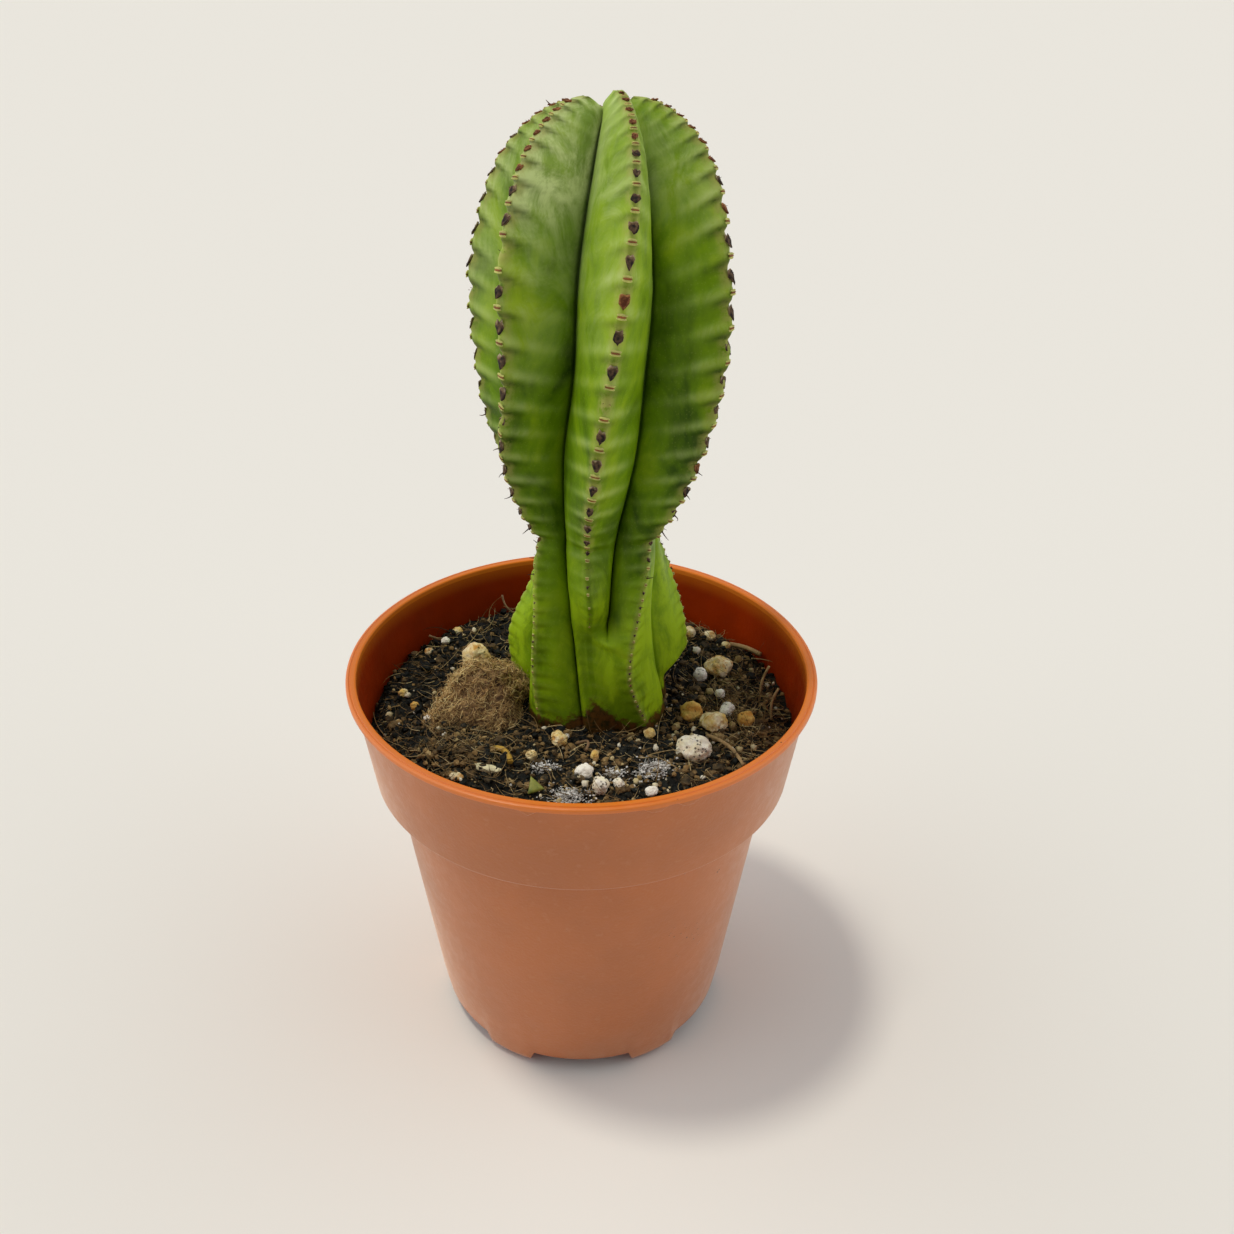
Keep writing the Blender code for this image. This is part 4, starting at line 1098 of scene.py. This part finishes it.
def buildRidgeMarks(rings, phases):
    draw = random.Random(7)
    nut = roundTemplate(2)
    strand = strandTemplate()
    lips, lines, scales, young, thorns = bmesh.new(), bmesh.new(), bmesh.new(), bmesh.new(), bmesh.new()
    for shape in (lips, lines, scales, young, thorns):
        shape.verts.layers.float.new("tone")
    for rib, name in enumerate(ribNames):
        counts = phases[rib]
        for number in range(math.ceil(counts[4]), math.floor(counts[-5])):
            eye = ridgePoint(rings, counts, rib, number)
            height = eye.z - mixLevel
            if height < ridgeMarks["lowest"] or (name == "front" and height < stem["ledge"] + 0.0005):
                continue
            if height < ridgeMarks["bareFoot"] and name in ("farLeft", "back"):
                continue
            pitch = pitchAt(height)
            axes = facing(*(ridgePoint(rings, counts, rib, number + step) for step in (-0.15, 0.15)))
            upward, outward = axes[0], axes[2]
            big = min(1.0, pitch / ridgeMarks["fullPitch"])
            grown = smoothStep(ridgeMarks["grownFrom"], ridgeMarks["grownBy"], height)
            width = blend(*ridgeMarks["width"], grown) * (0.4 + 0.6 * big)
            thin, added, depth = ridgeMarks["lip"]
            for step in (-1.0, 1.0):
                middle = eye + upward * (step * ridgeMarks["lipApart"] * big) - outward * 0.00008
                size = (width * draw.uniform(0.85, 1.08), thin + added * big, depth)
                layBar(lips, nut, middle, axes, size, draw.uniform(0.3, 0.9), draw)
            thin, added, depth = ridgeMarks["line"]
            size = (width * 0.85, thin + added * big, depth)
            layBar(lines, nut, eye - outward * 0.00004, axes, size, 0.5, draw)
            tip = ridgePoint(rings, counts, rib, number + blend(0.34, 0.20, grown))
            top = ridgePoint(rings, counts, rib, number + blend(0.56, draw.uniform(0.62, 0.70), grown))
            own = facing(tip, top)
            rusty = draw.random() < 0.10 + 0.9 * smoothStep(0.108, 0.126, height)
            if draw.random() > 0.25 * (1.0 - grown) + 0.03:
                breadth = blend(0.00032, draw.uniform(0.00076, 0.00120), grown) * (0.45 + 0.55 * big)
                thick = blend(*ridgeMarks["thick"], grown)
                layShield(young if rusty else scales, nut, tip, top, own, breadth, thick, draw)
            for hand in (-1.0, 1.0):
                vertices, layer = newCopy(thorns, strand)
                heading = own[2] + own[1] * (hand * 0.8) + own[0] * draw.uniform(-0.3, 0.7)
                start = tip.lerp(top, 0.65) + own[1] * (hand * width * 0.55)
                length = draw.uniform(*ridgeMarks["thornLength"])
                layStrand(vertices, layer, start, heading, own[0], length, ridgeMarks["thornRadius"],
                          draw.uniform(-0.15, 0.15), draw.uniform(0.1, 0.9))
            near = hump(height - ridgeMarks["longThornsAt"], 0.013)
            if draw.random() < 0.02 + 0.8 * near and height > 0.020 and name != "front":
                vertices, layer = newCopy(thorns, strand)
                heading = own[2] + own[1] * draw.uniform(-0.4, 0.4) - own[0] * draw.uniform(0.0, 0.5)
                length = draw.uniform(*ridgeMarks["longThorn"]) + 0.0009 * near
                layStrand(vertices, layer, tip.lerp(top, 0.3), heading, own[0], length,
                          ridgeMarks["longThornRadius"], draw.uniform(-0.4, 0.4), draw.uniform(0.0, 0.3))
    dried = ((0.08, ridge["scaleDark"]), (0.35, ridge["scaleMiddle"]), (0.65, ridge["scaleLight"]),
             (0.95, ridge["scalePale"]))
    rust = ((0.1, ridge["rustDark"]), (0.7, ridge["rustLight"]), (1.0, ridge["scalePale"]))
    thorny = ((0.0, ridge["thorn"]), (0.6, ridge["thornBrown"]), (1.0, ridge["thornPale"]))
    flaky = (1600.0, 0.7, 0.0003, 0.7)
    for name, shape, finish in (
            ("shieldLips", lips, plainFinish("shieldLips", ridge["lip"], 0.7, 0.3)),
            ("shieldLines", lines, plainFinish("shieldLines", ridge["line"], 0.7, 0.45)),
            ("driedScales", scales, toneFinish("driedScale", 0.8, dried, *flaky)),
            ("youngScales", young, toneFinish("youngScale", 0.8, rust, *flaky)),
            ("thorns", thorns, toneFinish("thorn", 0.6, thorny))):
        toObject(name, shape, finish)


# potting mix

mix = {
    "edgeSlump": 0.0035,
    "mound": 0.0018,
    "relief": 0.0009,
    "reliefScales": (95.0, 230.0),
    "rings": 110,
    "steps": 260,
    "depth": 0.016,
    "crumbs": 7200,
    "lumps": 620,
    "fibres": 3000,
    "pale": 330,
    "flakes": 760,
    "threads": 420,
    # smallest size and the most that is added to it
    "crumbSize": (0.00022, 0.00070),
    "lumpSize": (0.0007, 0.0010),
    "grainSize": (0.00022, 0.00080),
    "fibreLength": (0.0014, 0.0042),
    "longFibre": (0.004, 0.0085),
    "fibreRadius": (0.00006, 0.00015),
    "flakeSize": (0.00010, 0.00036),
    "threadLength": (0.0006, 0.0018),
    "threadRadius": (0.00007, 0.00014),
    "sunk": 0.0009,
    "heap": (-0.0250, -0.0195, 0.0030),
    "heapSpread": (0.0085, 0.0062),
    # where the mineral crust lies and how far it spreads
    "crust": ((0.0150, -0.0258, 0.0034), (-0.0025, -0.0352, 0.0036), (-0.0077, -0.0247, 0.0022),
              (0.0069, -0.0264, 0.0018)),
    "stemClear": 0.0135,
    # browner patches: strength, middle and half widths
    "brown": ((0.7, (-0.029, -0.019), (0.009, 0.009)), (1.0, (0.002, -0.027), (0.016, 0.010)),
              (1.5, (0.034, -0.006), (0.012, 0.018))),
}
mixRadius = innerRadius(mixLevel) - 0.0003
stones = [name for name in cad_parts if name.startswith("pumice_")]
stoneBoxes = [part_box(name) for name in stones]


def mixHeight(x, y):
    reach = math.hypot(x, y) / mixRadius
    slump = mix["edgeSlump"] * smoothStep(0.80, 1.0, reach)
    mound = mix["mound"] * smoothStep(-0.2, 1.0, y / mixRadius)
    coarse, fine = (noise.noise(Vector((x, y, 0.04)) * scale) for scale in mix["reliefScales"])
    return mixLevel + mound - slump + mix["relief"] * (coarse + fine / 2.0)


def heaped(x, y):
    # brown crumbs spilled below the clump
    east, north, rise = mix["heap"]
    spread = mix["heapSpread"]
    return rise * hump(x - east, spread[0]) * hump(y - north, spread[1])


def crumbly(x, y):
    place = (x, y, 0.0)
    lumps = abs(wobble(place, 0.0036, 5.0)) * 0.0024 + wobble(place, 0.0014, 9.0) * 0.00075
    return lumps + wobble(place, 0.0006, 2.0) * 0.00024 + heaped(x, y) - mix["sunk"]


def onMix(x, y, lift):
    return Vector((x, y, mixHeight(x, y) + crumbly(x, y) + lift))


def buildMix(finish):
    shape = bmesh.new()
    rim = mixRadius + 0.0001
    shares = [1.0 - ring / mix["rings"] for ring in range(mix["rings"] + 1)]
    top = [shape.verts.new((rim * share ** 0.85, 0.0, mixLevel)) for share in shares]
    foot = mixLevel - mix["depth"]
    side = innerRadius(foot) - 0.0002
    line = [shape.verts.new((0.0, 0.0, foot)), shape.verts.new((side, 0.0, foot))] + top
    spun(shape, line, mix["steps"], 0.000002)
    for vertex in shape.verts:
        if vertex.co.z > mixLevel - mix["depth"] / 2.0:
            vertex.co = onMix(vertex.co.x, vertex.co.y, -0.0004)
    bmesh.ops.recalc_face_normals(shape, faces=shape.faces)
    toObject("mixBed", shape, finish, ["potting_mix"])


def sizeFrom(draw, bounds, power):
    # mostly near the smallest
    return bounds[0] + bounds[1] * draw.random() ** power


def onStone(x, y, margin=0.85):
    for low, high in stoneBoxes:
        half = ((high.x - low.x) * margin / 2.0, (high.y - low.y) * margin / 2.0)
        middle = (low + high) / 2.0
        if ((x - middle.x) / half[0]) ** 2 + ((y - middle.y) / half[1]) ** 2 < 1.0:
            return True
    return False


def anywhere(draw, avoidStones=True):
    while True:
        distance = mixRadius * math.sqrt(draw.random()) - 0.0004
        angle = draw.uniform(0.0, math.tau)
        x, y = distance * math.cos(angle), distance * math.sin(angle)
        if math.hypot(x - axisFoot.x, y - axisFoot.y) < mix["stemClear"]:
            continue
        if avoidStones and onStone(x, y):
            continue
        return x, y


def browner(x, y):
    # the peat is browner by the clump, at the front and on the right, and darker at the back left
    total = -0.6 * smoothStep(-0.004, -0.020, x) * smoothStep(-0.012, 0.004, y)
    for strength, middle, widths in mix["brown"]:
        total += strength * hump(x - middle[0], widths[0]) * hump(y - middle[1], widths[1])
    return total


def buildCrumbs():
    draw = random.Random(21)
    heap = mix["heap"]

    def settle(vertices, tone, index):
        x, y = anywhere(draw)
        if index % 9 == 0:
            x, y = draw.gauss(heap[0], 0.0065), draw.gauss(heap[1], 0.0045)
            if math.hypot(x, y) > mixRadius - 0.0006:
                x, y = x * 0.8, y * 0.8
        size = sizeFrom(draw, mix["crumbSize"], 2.2)
        shade = draw.random() ** 1.7 * 0.72 + 0.45 * browner(x, y) * draw.random()
        place = onMix(x, y, size * draw.uniform(0.1, 0.9) - 0.0003)
        layCrumb(vertices, tone, place, size, draw.uniform(0.5, 0.9), draw, shade)

    def settleLump(vertices, tone, index):
        x, y = anywhere(draw)
        size = sizeFrom(draw, mix["lumpSize"], 1.8)
        reach = math.hypot(x, y)
        if reach > mixRadius - size:
            x, y = x * (mixRadius - size) / reach, y * (mixRadius - size) / reach
        shade = draw.random() ** 2.4 * 0.6 + 0.4 * browner(x, y) * draw.random()
        place = onMix(x, y, -size * draw.uniform(0.0, 0.35))
        layCrumb(vertices, tone, place, size, draw.uniform(0.45, 0.85), draw, shade)

    stops = ((0.0, paint(6, 10, 9)), (0.20, paint(32, 34, 27)), (0.44, paint(98, 78, 48)),
             (0.74, paint(156, 124, 76)), (1.0, paint(206, 182, 128)))
    crumbs = toObject("mixCrumbs", scatter(mix["crumbs"], roundTemplate(1), settle),
                      toneFinish("peatCrumbs", 0.7, stops, 1200.0, 0.9, 0.0003, 0.5))
    lumps = toObject("mixLumps", scatter(mix["lumps"], roundTemplate(2), settleLump),
                     toneFinish("peatLumps", 0.62, stops, 1500.0, 1.0, 0.0004, 0.5))
    crumbs.data.shade_flat()
    lumps.data.shade_flat()


def buildFibres():
    draw = random.Random(33)

    def settle(vertices, tone, index):
        x, y = anywhere(draw, False)
        if index % 5 == 0:
            x, y = draw.gauss(0.037, 0.005), draw.gauss(-0.002, 0.011)
        if index % 11 == 0:
            x, y = draw.gauss(mix["heap"][0], 0.006), draw.gauss(mix["heap"][1], 0.005)
        while math.hypot(x, y) > mixRadius - 0.001:
            x, y = x * 0.97, y * 0.97
        heading = Vector((draw.uniform(-1, 1), draw.uniform(-1, 1), draw.uniform(-0.1, 0.45)))
        length = draw.uniform(*mix["fibreLength" if index % 4 else "longFibre"])
        start = onMix(x, y, draw.uniform(0.0, 0.0007))
        tip = start + heading.normalized() * length
        if math.hypot(tip.x, tip.y) > mixRadius - 0.0004:
            heading = Vector((-x, -y, 0.004))
        radius = draw.uniform(*mix["fibreRadius"])
        layStrand(vertices, tone, start, heading, Vector((0, 0, 1)), length, radius,
                  draw.uniform(-0.35, 0.35), draw.random())

    shape = scatter(mix["fibres"], strandTemplate(), settle)
    stops = ((0.0, paint(34, 27, 18)), (0.35, paint(104, 82, 50)), (0.7, paint(162, 134, 86)),
             (1.0, paint(216, 194, 142)))
    toObject("mixFibres", shape, toneFinish("peatFibres", 0.75, stops))


def buildPaleGrains():
    draw = random.Random(5)

    def settle(vertices, tone, index):
        x, y = anywhere(draw)
        if index % 3 == 0:
            x, y = draw.gauss(0.024, 0.010), draw.gauss(-0.016, 0.012)
            while math.hypot(x, y) > mixRadius - 0.001:
                x, y = x * 0.95, y * 0.95
        size = sizeFrom(draw, mix["grainSize"], 2.2)
        layCrumb(vertices, tone, onMix(x, y, size * 0.5), size, 0.85, draw, draw.random())

    shape = scatter(mix["pale"], roundTemplate(2), settle)
    stops = ((0.0, paint(150, 124, 70)), (0.5, paint(206, 188, 140)), (1.0, paint(236, 232, 218)))
    toObject("paleGrains", shape, toneFinish("paleGrain", 0.85, stops))


def buildCrust():
    # white mineral crust: fine flakes and threads in a few patches
    draw = random.Random(9)

    def spot(index):
        x, y, spread = mix["crust"][(0, 0, 0, 1, 1, 1, 2, 3)[index % 8]]
        return x + draw.gauss(0.0, spread * 0.60), y + draw.gauss(0.0, spread * 0.46)

    def flake(vertices, tone, index):
        x, y = spot(index)
        size = draw.uniform(*mix["flakeSize"])
        place = onMix(x, y, draw.uniform(0.0002, 0.0010))
        layCrumb(vertices, tone, place, size, draw.uniform(0.3, 0.8), draw, draw.random())

    def thread(vertices, tone, index):
        x, y = spot(index)
        heading = Vector((draw.uniform(-1, 1), draw.uniform(-1, 1), draw.uniform(0.0, 0.5)))
        start = onMix(x, y, draw.uniform(0.0, 0.0005))
        length = draw.uniform(*mix["threadLength"])
        layStrand(vertices, tone, start, heading, Vector((0, 0, 1)), length,
                  draw.uniform(*mix["threadRadius"]), draw.uniform(-0.4, 0.4), draw.random())

    stops = ((0.0, paint(158, 154, 146)), (0.5, paint(214, 210, 202)), (1.0, paint(250, 248, 242)))
    finish = toneFinish("mineralCrust", 0.9, stops)
    toObject("crustFlakes", scatter(mix["flakes"], roundTemplate(1), flake), finish)
    toObject("crustThreads", scatter(mix["threads"], strandTemplate(), thread), finish)


def mixFinish():
    made, tree, shader = newFinish("darkPeat", 0.85)
    place = objectPlace(tree)
    coarse = noiseOf(tree, place, 320.0, 6.0, 0.7)
    fine = noiseOf(tree, place, 1400.0, 4.0, 0.7)
    stops = ((0.3, paint(8, 12, 11)), (0.55, paint(30, 31, 25)), (0.78, paint(88, 68, 42)))
    colour = ramp(tree, coarse, *stops)
    shader.inputs["Specular IOR Level"].default_value = 0.25
    colour = mixed(tree, ranged(tree, fine, 0.56, 0.72, 0.0, 0.55), colour, paint(118, 98, 70))
    tree.links.new(colour, shader.inputs["Base Color"])
    tree.links.new(ranged(tree, coarse, 0.3, 0.7, 0.55, 0.95), shader.inputs["Roughness"])
    bumped(tree, shader, plus(tree, coarse, fine), 0.9, 0.0008)
    return made


# grit

grit = {
    "white": {"pumice_07", "pumice_08", "pumice_09", "pumice_11", "pumice_13", "pumice_27", "pumice_23"},
    "rusty": {"pumice_03", "pumice_06", "pumice_18", "pumice_26"},
    "pitted": {"pumice_05", "pumice_10", "pumice_12"},
    "yellow": (228, 194, 108),
    "cream": (250, 238, 200),
    "pale": (252, 246, 230),
    "rust": (196, 136, 58),
    "pit": (66, 46, 26),
}


def stoneFinish(name, body, warm, rusty, pitted=0.0):
    made, tree, shader = newFinish(name, 0.85)
    place = objectPlace(tree)
    cloud = noiseOf(tree, place, 280.0, 5.0, 0.65)
    colour = mixed(tree, ranged(tree, cloud, 0.35, 0.68), paint(*body), paint(*warm))
    rust = ranged(tree, noiseOf(tree, place, 420.0, 4.0, 0.7), 0.47, 0.64, 0.0, rusty)
    colour = mixed(tree, rust, colour, paint(*grit["rust"]))
    pits = addNode(tree, "ShaderNodeTexVoronoi", {"Vector": place}, Scale=1300.0).outputs["Distance"]
    sparse = ranged(tree, noiseOf(tree, place, 700.0, 2.0, 0.5), 0.54 - pitted, 0.64 - pitted)
    pit = times(tree, ranged(tree, pits, 0.40, 0.20), sparse)
    colour = mixed(tree, times(tree, pit, 0.8), colour, paint(*grit["pit"]))
    tree.links.new(colour, shader.inputs["Base Color"])
    grain = noiseOf(tree, place, 1800.0, 3.0, 0.7)
    height = minus(tree, plus(tree, cloud, times(tree, grain, 0.5)), pit)
    shader.inputs["Specular IOR Level"].default_value = 0.2
    bumped(tree, shader, height, 0.7, 0.0005)
    return made


def buildGrit():
    yellow = stoneFinish("pumiceYellow", grit["yellow"], grit["cream"], 0.85)
    white = stoneFinish("pumiceWhite", grit["pale"], grit["pale"], 0.10)
    rusty = stoneFinish("pumiceRusty", grit["rust"], grit["yellow"], 0.8)
    pitted = stoneFinish("pumicePitted", grit["cream"], grit["pale"], 0.3, 0.12)
    for number, name in enumerate(stones):
        shape = copyOf(name, 5)
        low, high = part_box(name)
        size = max(high - low)
        for vertex in shape.verts:
            place = vertex.co.copy()
            lumps = 0.095 * wobble(place, size * 0.42, number + 0.5)
            lumps += 0.030 * wobble(place, size * 0.13, number + 3.5)
            nearest = noise.voronoi(place / (size * 0.16) + Vector((number, 0, 0)))[0][0]
            pit = -0.045 * smoothStep(0.42, 0.20, nearest)
            vertex.co = place + vertex.normal * (size * (lumps + pit - 0.010))
        bmesh.ops.smooth_vert(shape, verts=shape.verts, factor=0.2, use_axis_x=True, use_axis_y=True,
                              use_axis_z=True)
        finish = yellow
        for group, other in (("white", white), ("rusty", rusty), ("pitted", pitted)):
            finish = other if name in grit[group] else finish
        toObject("stone" + name[-2:], shape, finish, [name])


# clump of matted peat

clump = {
    "faces": (((-0.20, -0.60, 0.78), 0.0048), ((0.90, -0.30, 0.25), 0.0078), ((-0.80, 0.45, 0.40), 0.0076)),
    "keeps": 0.15,  # of what stands over a face
    "strands": 4200,
    "strandLength": (0.0012, 0.0032),
    "strandRadius": (0.00007, 0.00017),
    "strandCurl": 0.6,
    "dark": (62, 42, 24),
    "middle": (204, 164, 106),
    "hay": (255, 232, 168),
}


def buildClump():
    draw = random.Random(14)
    shape = copyOf("peat_clump", 3)
    low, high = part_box("peat_clump")
    middle = (low + high) / 2.0
    for vertex in shape.verts:
        # a torn slab: flat towards the front, drawn out to the front left
        off = vertex.co - middle
        ahead = max(0.0, -off.y)
        off.x = off.x * 1.03 - 0.45 * ahead
        off.y = off.y - 0.50 * ahead
        off.z = off.z - 0.20 * ahead
        for normal, distance in clump["faces"]:
            face = Vector(normal).normalized()
            over = off.dot(face) - distance
            if over > 0.0:
                off -= face * (over * (1.0 - clump["keeps"]))
        vertex.co = middle + off
    shape.normal_update()
    for vertex in shape.verts:
        place = vertex.co.copy()
        rough = 0.0019 * wobble(place, 0.0060, 1.0) + 0.0013 * wobble(place, 0.0021, 4.0)
        vertex.co = place + vertex.normal * (rough - 0.0004)
    shape.normal_update()
    shown = [(v.co.copy(), v.normal.copy()) for v in shape.verts if v.co.z > mixLevel - 0.0005]
    finish, tree, shader = newFinish("mattedPeat", 0.9)
    place = objectPlace(tree)
    grain = noiseOf(tree, place, 700.0, 6.0, 0.75)
    stops = ((0.34, paint(48, 33, 20)), (0.5, paint(124, 94, 60)), (0.68, paint(*clump["middle"])))
    tree.links.new(ramp(tree, grain, *stops), shader.inputs["Base Color"])
    bumped(tree, shader, grain, 1.0, 0.0008)
    toObject("mattedClump", shape, finish, ["peat_clump"])

    def settle(vertices, tone, index):
        start, out = draw.choice(shown)
        across = Vector((draw.gauss(0, 1), draw.gauss(0, 1), draw.gauss(0, 1)))
        heading = across - out * across.dot(out) + out * draw.uniform(-0.10, 0.35) * across.length
        length = draw.uniform(*clump["strandLength"])
        # the strands turn paler and hay-coloured along the upper left edge
        edgeward = (start.y - middle.y) * 0.7 - (start.x - middle.x) * 0.7
        sunny = smoothStep(-0.002, 0.009, edgeward + 0.002 * wobble(start, 0.004, 3.0))
        shade = 0.40 + 0.42 * sunny + draw.uniform(-0.45, 0.45)
        radius = draw.uniform(*clump["strandRadius"])
        curl = draw.uniform(-clump["strandCurl"], clump["strandCurl"])
        shade = min(1.0, max(0.0, shade))
        layStrand(vertices, tone, start - out * 0.0001, heading, out, length, radius, curl, shade)

    strands = scatter(clump["strands"], strandTemplate(), settle)
    stops = ((0.0, paint(*clump["dark"])), (0.5, paint(*clump["middle"])), (1.0, paint(*clump["hay"])))
    toObject("clumpStrands", strands, toneFinish("clumpStrand", 0.85, stops))


# straws, roots, bark and leaf

def buildStrand(name, finish):
    shape = copyOf(name, 1, 0.0)
    for vertex in shape.verts:
        place = vertex.co.copy()
        vertex.co = place + vertex.normal * 0.00008 * wobble(place, 0.0012, 6.0)
    toObject("dry_" + name, shape, finish, [name])


def buildTrim():
    straw = plainFinish("dryStraw", paint(170, 138, 92), 0.8, 0.4, 500.0)
    root = plainFinish("thinRoot", paint(128, 98, 66), 0.8, 0.4, 600.0)
    curl = plainFinish("barkCurl", paint(190, 150, 52), 0.7, 0.3, 400.0)
    for name in sorted(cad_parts):
        if name.startswith("straw_"):
            buildStrand(name, straw)
        elif name.startswith("root_"):
            buildStrand(name, root)
    toObject("barkCurl", copyOf("bark_curl", 1, 0.0), curl, ["bark_curl"])
    sliver = copyOf("bark_sliver", 4)
    for vertex in sliver.verts:
        vertex.co += vertex.normal * 0.00012 * wobble(vertex.co, 0.0012, 2.0)
    pale = plainFinish("barkSliver", paint(232, 222, 176), 0.75, 0.15, 500.0)
    toObject("barkSliver", sliver, pale, ["bark_sliver"])
    leaf = copyOf("leaf_scrap", 5, 0.0)
    for vertex in leaf.verts:
        place = vertex.co.copy()
        vertex.co = place + Vector((0.0, -0.3, 1.0)) * 0.00030 * wobble(place, 0.0025, 7.0)
    finish, tree, shader = newFinish("leafScrap", 0.55)
    grain = noiseOf(tree, objectPlace(tree), 420.0, 4.0, 0.7)
    stops = ((0.3, paint(88, 104, 24)), (0.6, paint(148, 150, 58)), (0.8, paint(120, 78, 34)))
    tree.links.new(ramp(tree, grain, *stops), shader.inputs["Base Color"])
    bumped(tree, shader, grain, 0.4, 0.0003)
    toObject("leafScrap", leaf, finish, ["leaf_scrap"])


buildPot(potFinish())
print("pot done")
rings, phases = buildStem(skinFinish())
buildRidgeMarks(rings, phases)
print("stem done")
buildMix(mixFinish())
buildCrumbs()
buildFibres()
buildPaleGrains()
buildCrust()
print("potting mix done")
buildGrit()
buildClump()
buildTrim()
print("grit, clump and trim done")


# stage, light and camera

studio = {
    "floorSize": 12.0,
    "floor": (0.83, 0.80, 0.73),
    "sky": (0.97, 0.99, 1.04),
    "above": 0.395,
    "left": 1.12,
    "right": 0.90,
    "front": 0.76,
    "sunColour": (1.0, 0.96, 0.87),
    "sunStrength": 1.12,
    "sunAngle": 8.0,
    "sunTurn": (0.2, -14.8),
}

floorShape = bmesh.new()
bmesh.ops.create_grid(floorShape, x_segments=1, y_segments=1, size=studio["floorSize"] / 2.0)
floor = addObject("floor", meshOf(floorShape, "floor"))
floorFinish, floorTree, floorShader = newFinish("paleFloor", 0.9)
floorShader.inputs["Base Color"].default_value = (*studio["floor"], 1.0)
floorShader.inputs["Specular IOR Level"].default_value = 0.0
floor.data.materials.append(floorFinish)

world = bpy.data.worlds.new("studio")
world.use_nodes = True
skyTree = world.node_tree
# large soft panels on both sides, dark behind the camera
skyPlace = addNode(skyTree, "ShaderNodeTexCoord").outputs["Generated"]
towards = addNode(skyTree, "ShaderNodeSeparateXYZ", {"Vector": skyPlace})
leftPanel = ranged(skyTree, towards.outputs["X"], -0.25, -0.85, 0.0, studio["left"])
rightPanel = ranged(skyTree, towards.outputs["X"], 0.25, 0.85, 0.0, studio["right"])
level = plus(skyTree, plus(skyTree, leftPanel, rightPanel), studio["above"])
dim = ranged(skyTree, towards.outputs["Y"], -0.25, -0.85, 1.0, 1.0 - studio["front"])
backdrop = skyTree.nodes["Background"]
backdrop.inputs["Color"].default_value = (*studio["sky"], 1.0)
skyTree.links.new(times(skyTree, level, dim), backdrop.inputs["Strength"])
bpy.context.scene.world = world

sun = bpy.data.lights.new("softbox", "SUN")
sun.energy = studio["sunStrength"]
sun.color = studio["sunColour"]
sun.angle = math.radians(studio["sunAngle"])
sunObject = addObject("softbox", sun)
sunObject.rotation_euler = tuple(math.radians(v) for v in (*studio["sunTurn"], 0.0))

shot = {
    "distance": rimRadius * 4.5,
    "height": rimHeight + rimRadius * 2.858,
    "down": 30.4,
    "lens": 36.26,
    "shift": 0.0289,
}
lens = bpy.data.cameras.new("camera")
lens.sensor_width = 36.0
lens.lens = shot["lens"]
lens.shift_x = shot["shift"]
lens.clip_start = 0.01
lens.clip_end = 50.0
camera = addObject("camera", lens)
camera.location = (0.0, -shot["distance"], shot["height"])
camera.rotation_euler = (math.radians(90.0 - shot["down"]), 0.0, 0.0)
bpy.context.scene.camera = camera
bpy.context.scene.view_settings.view_transform = "Standard"
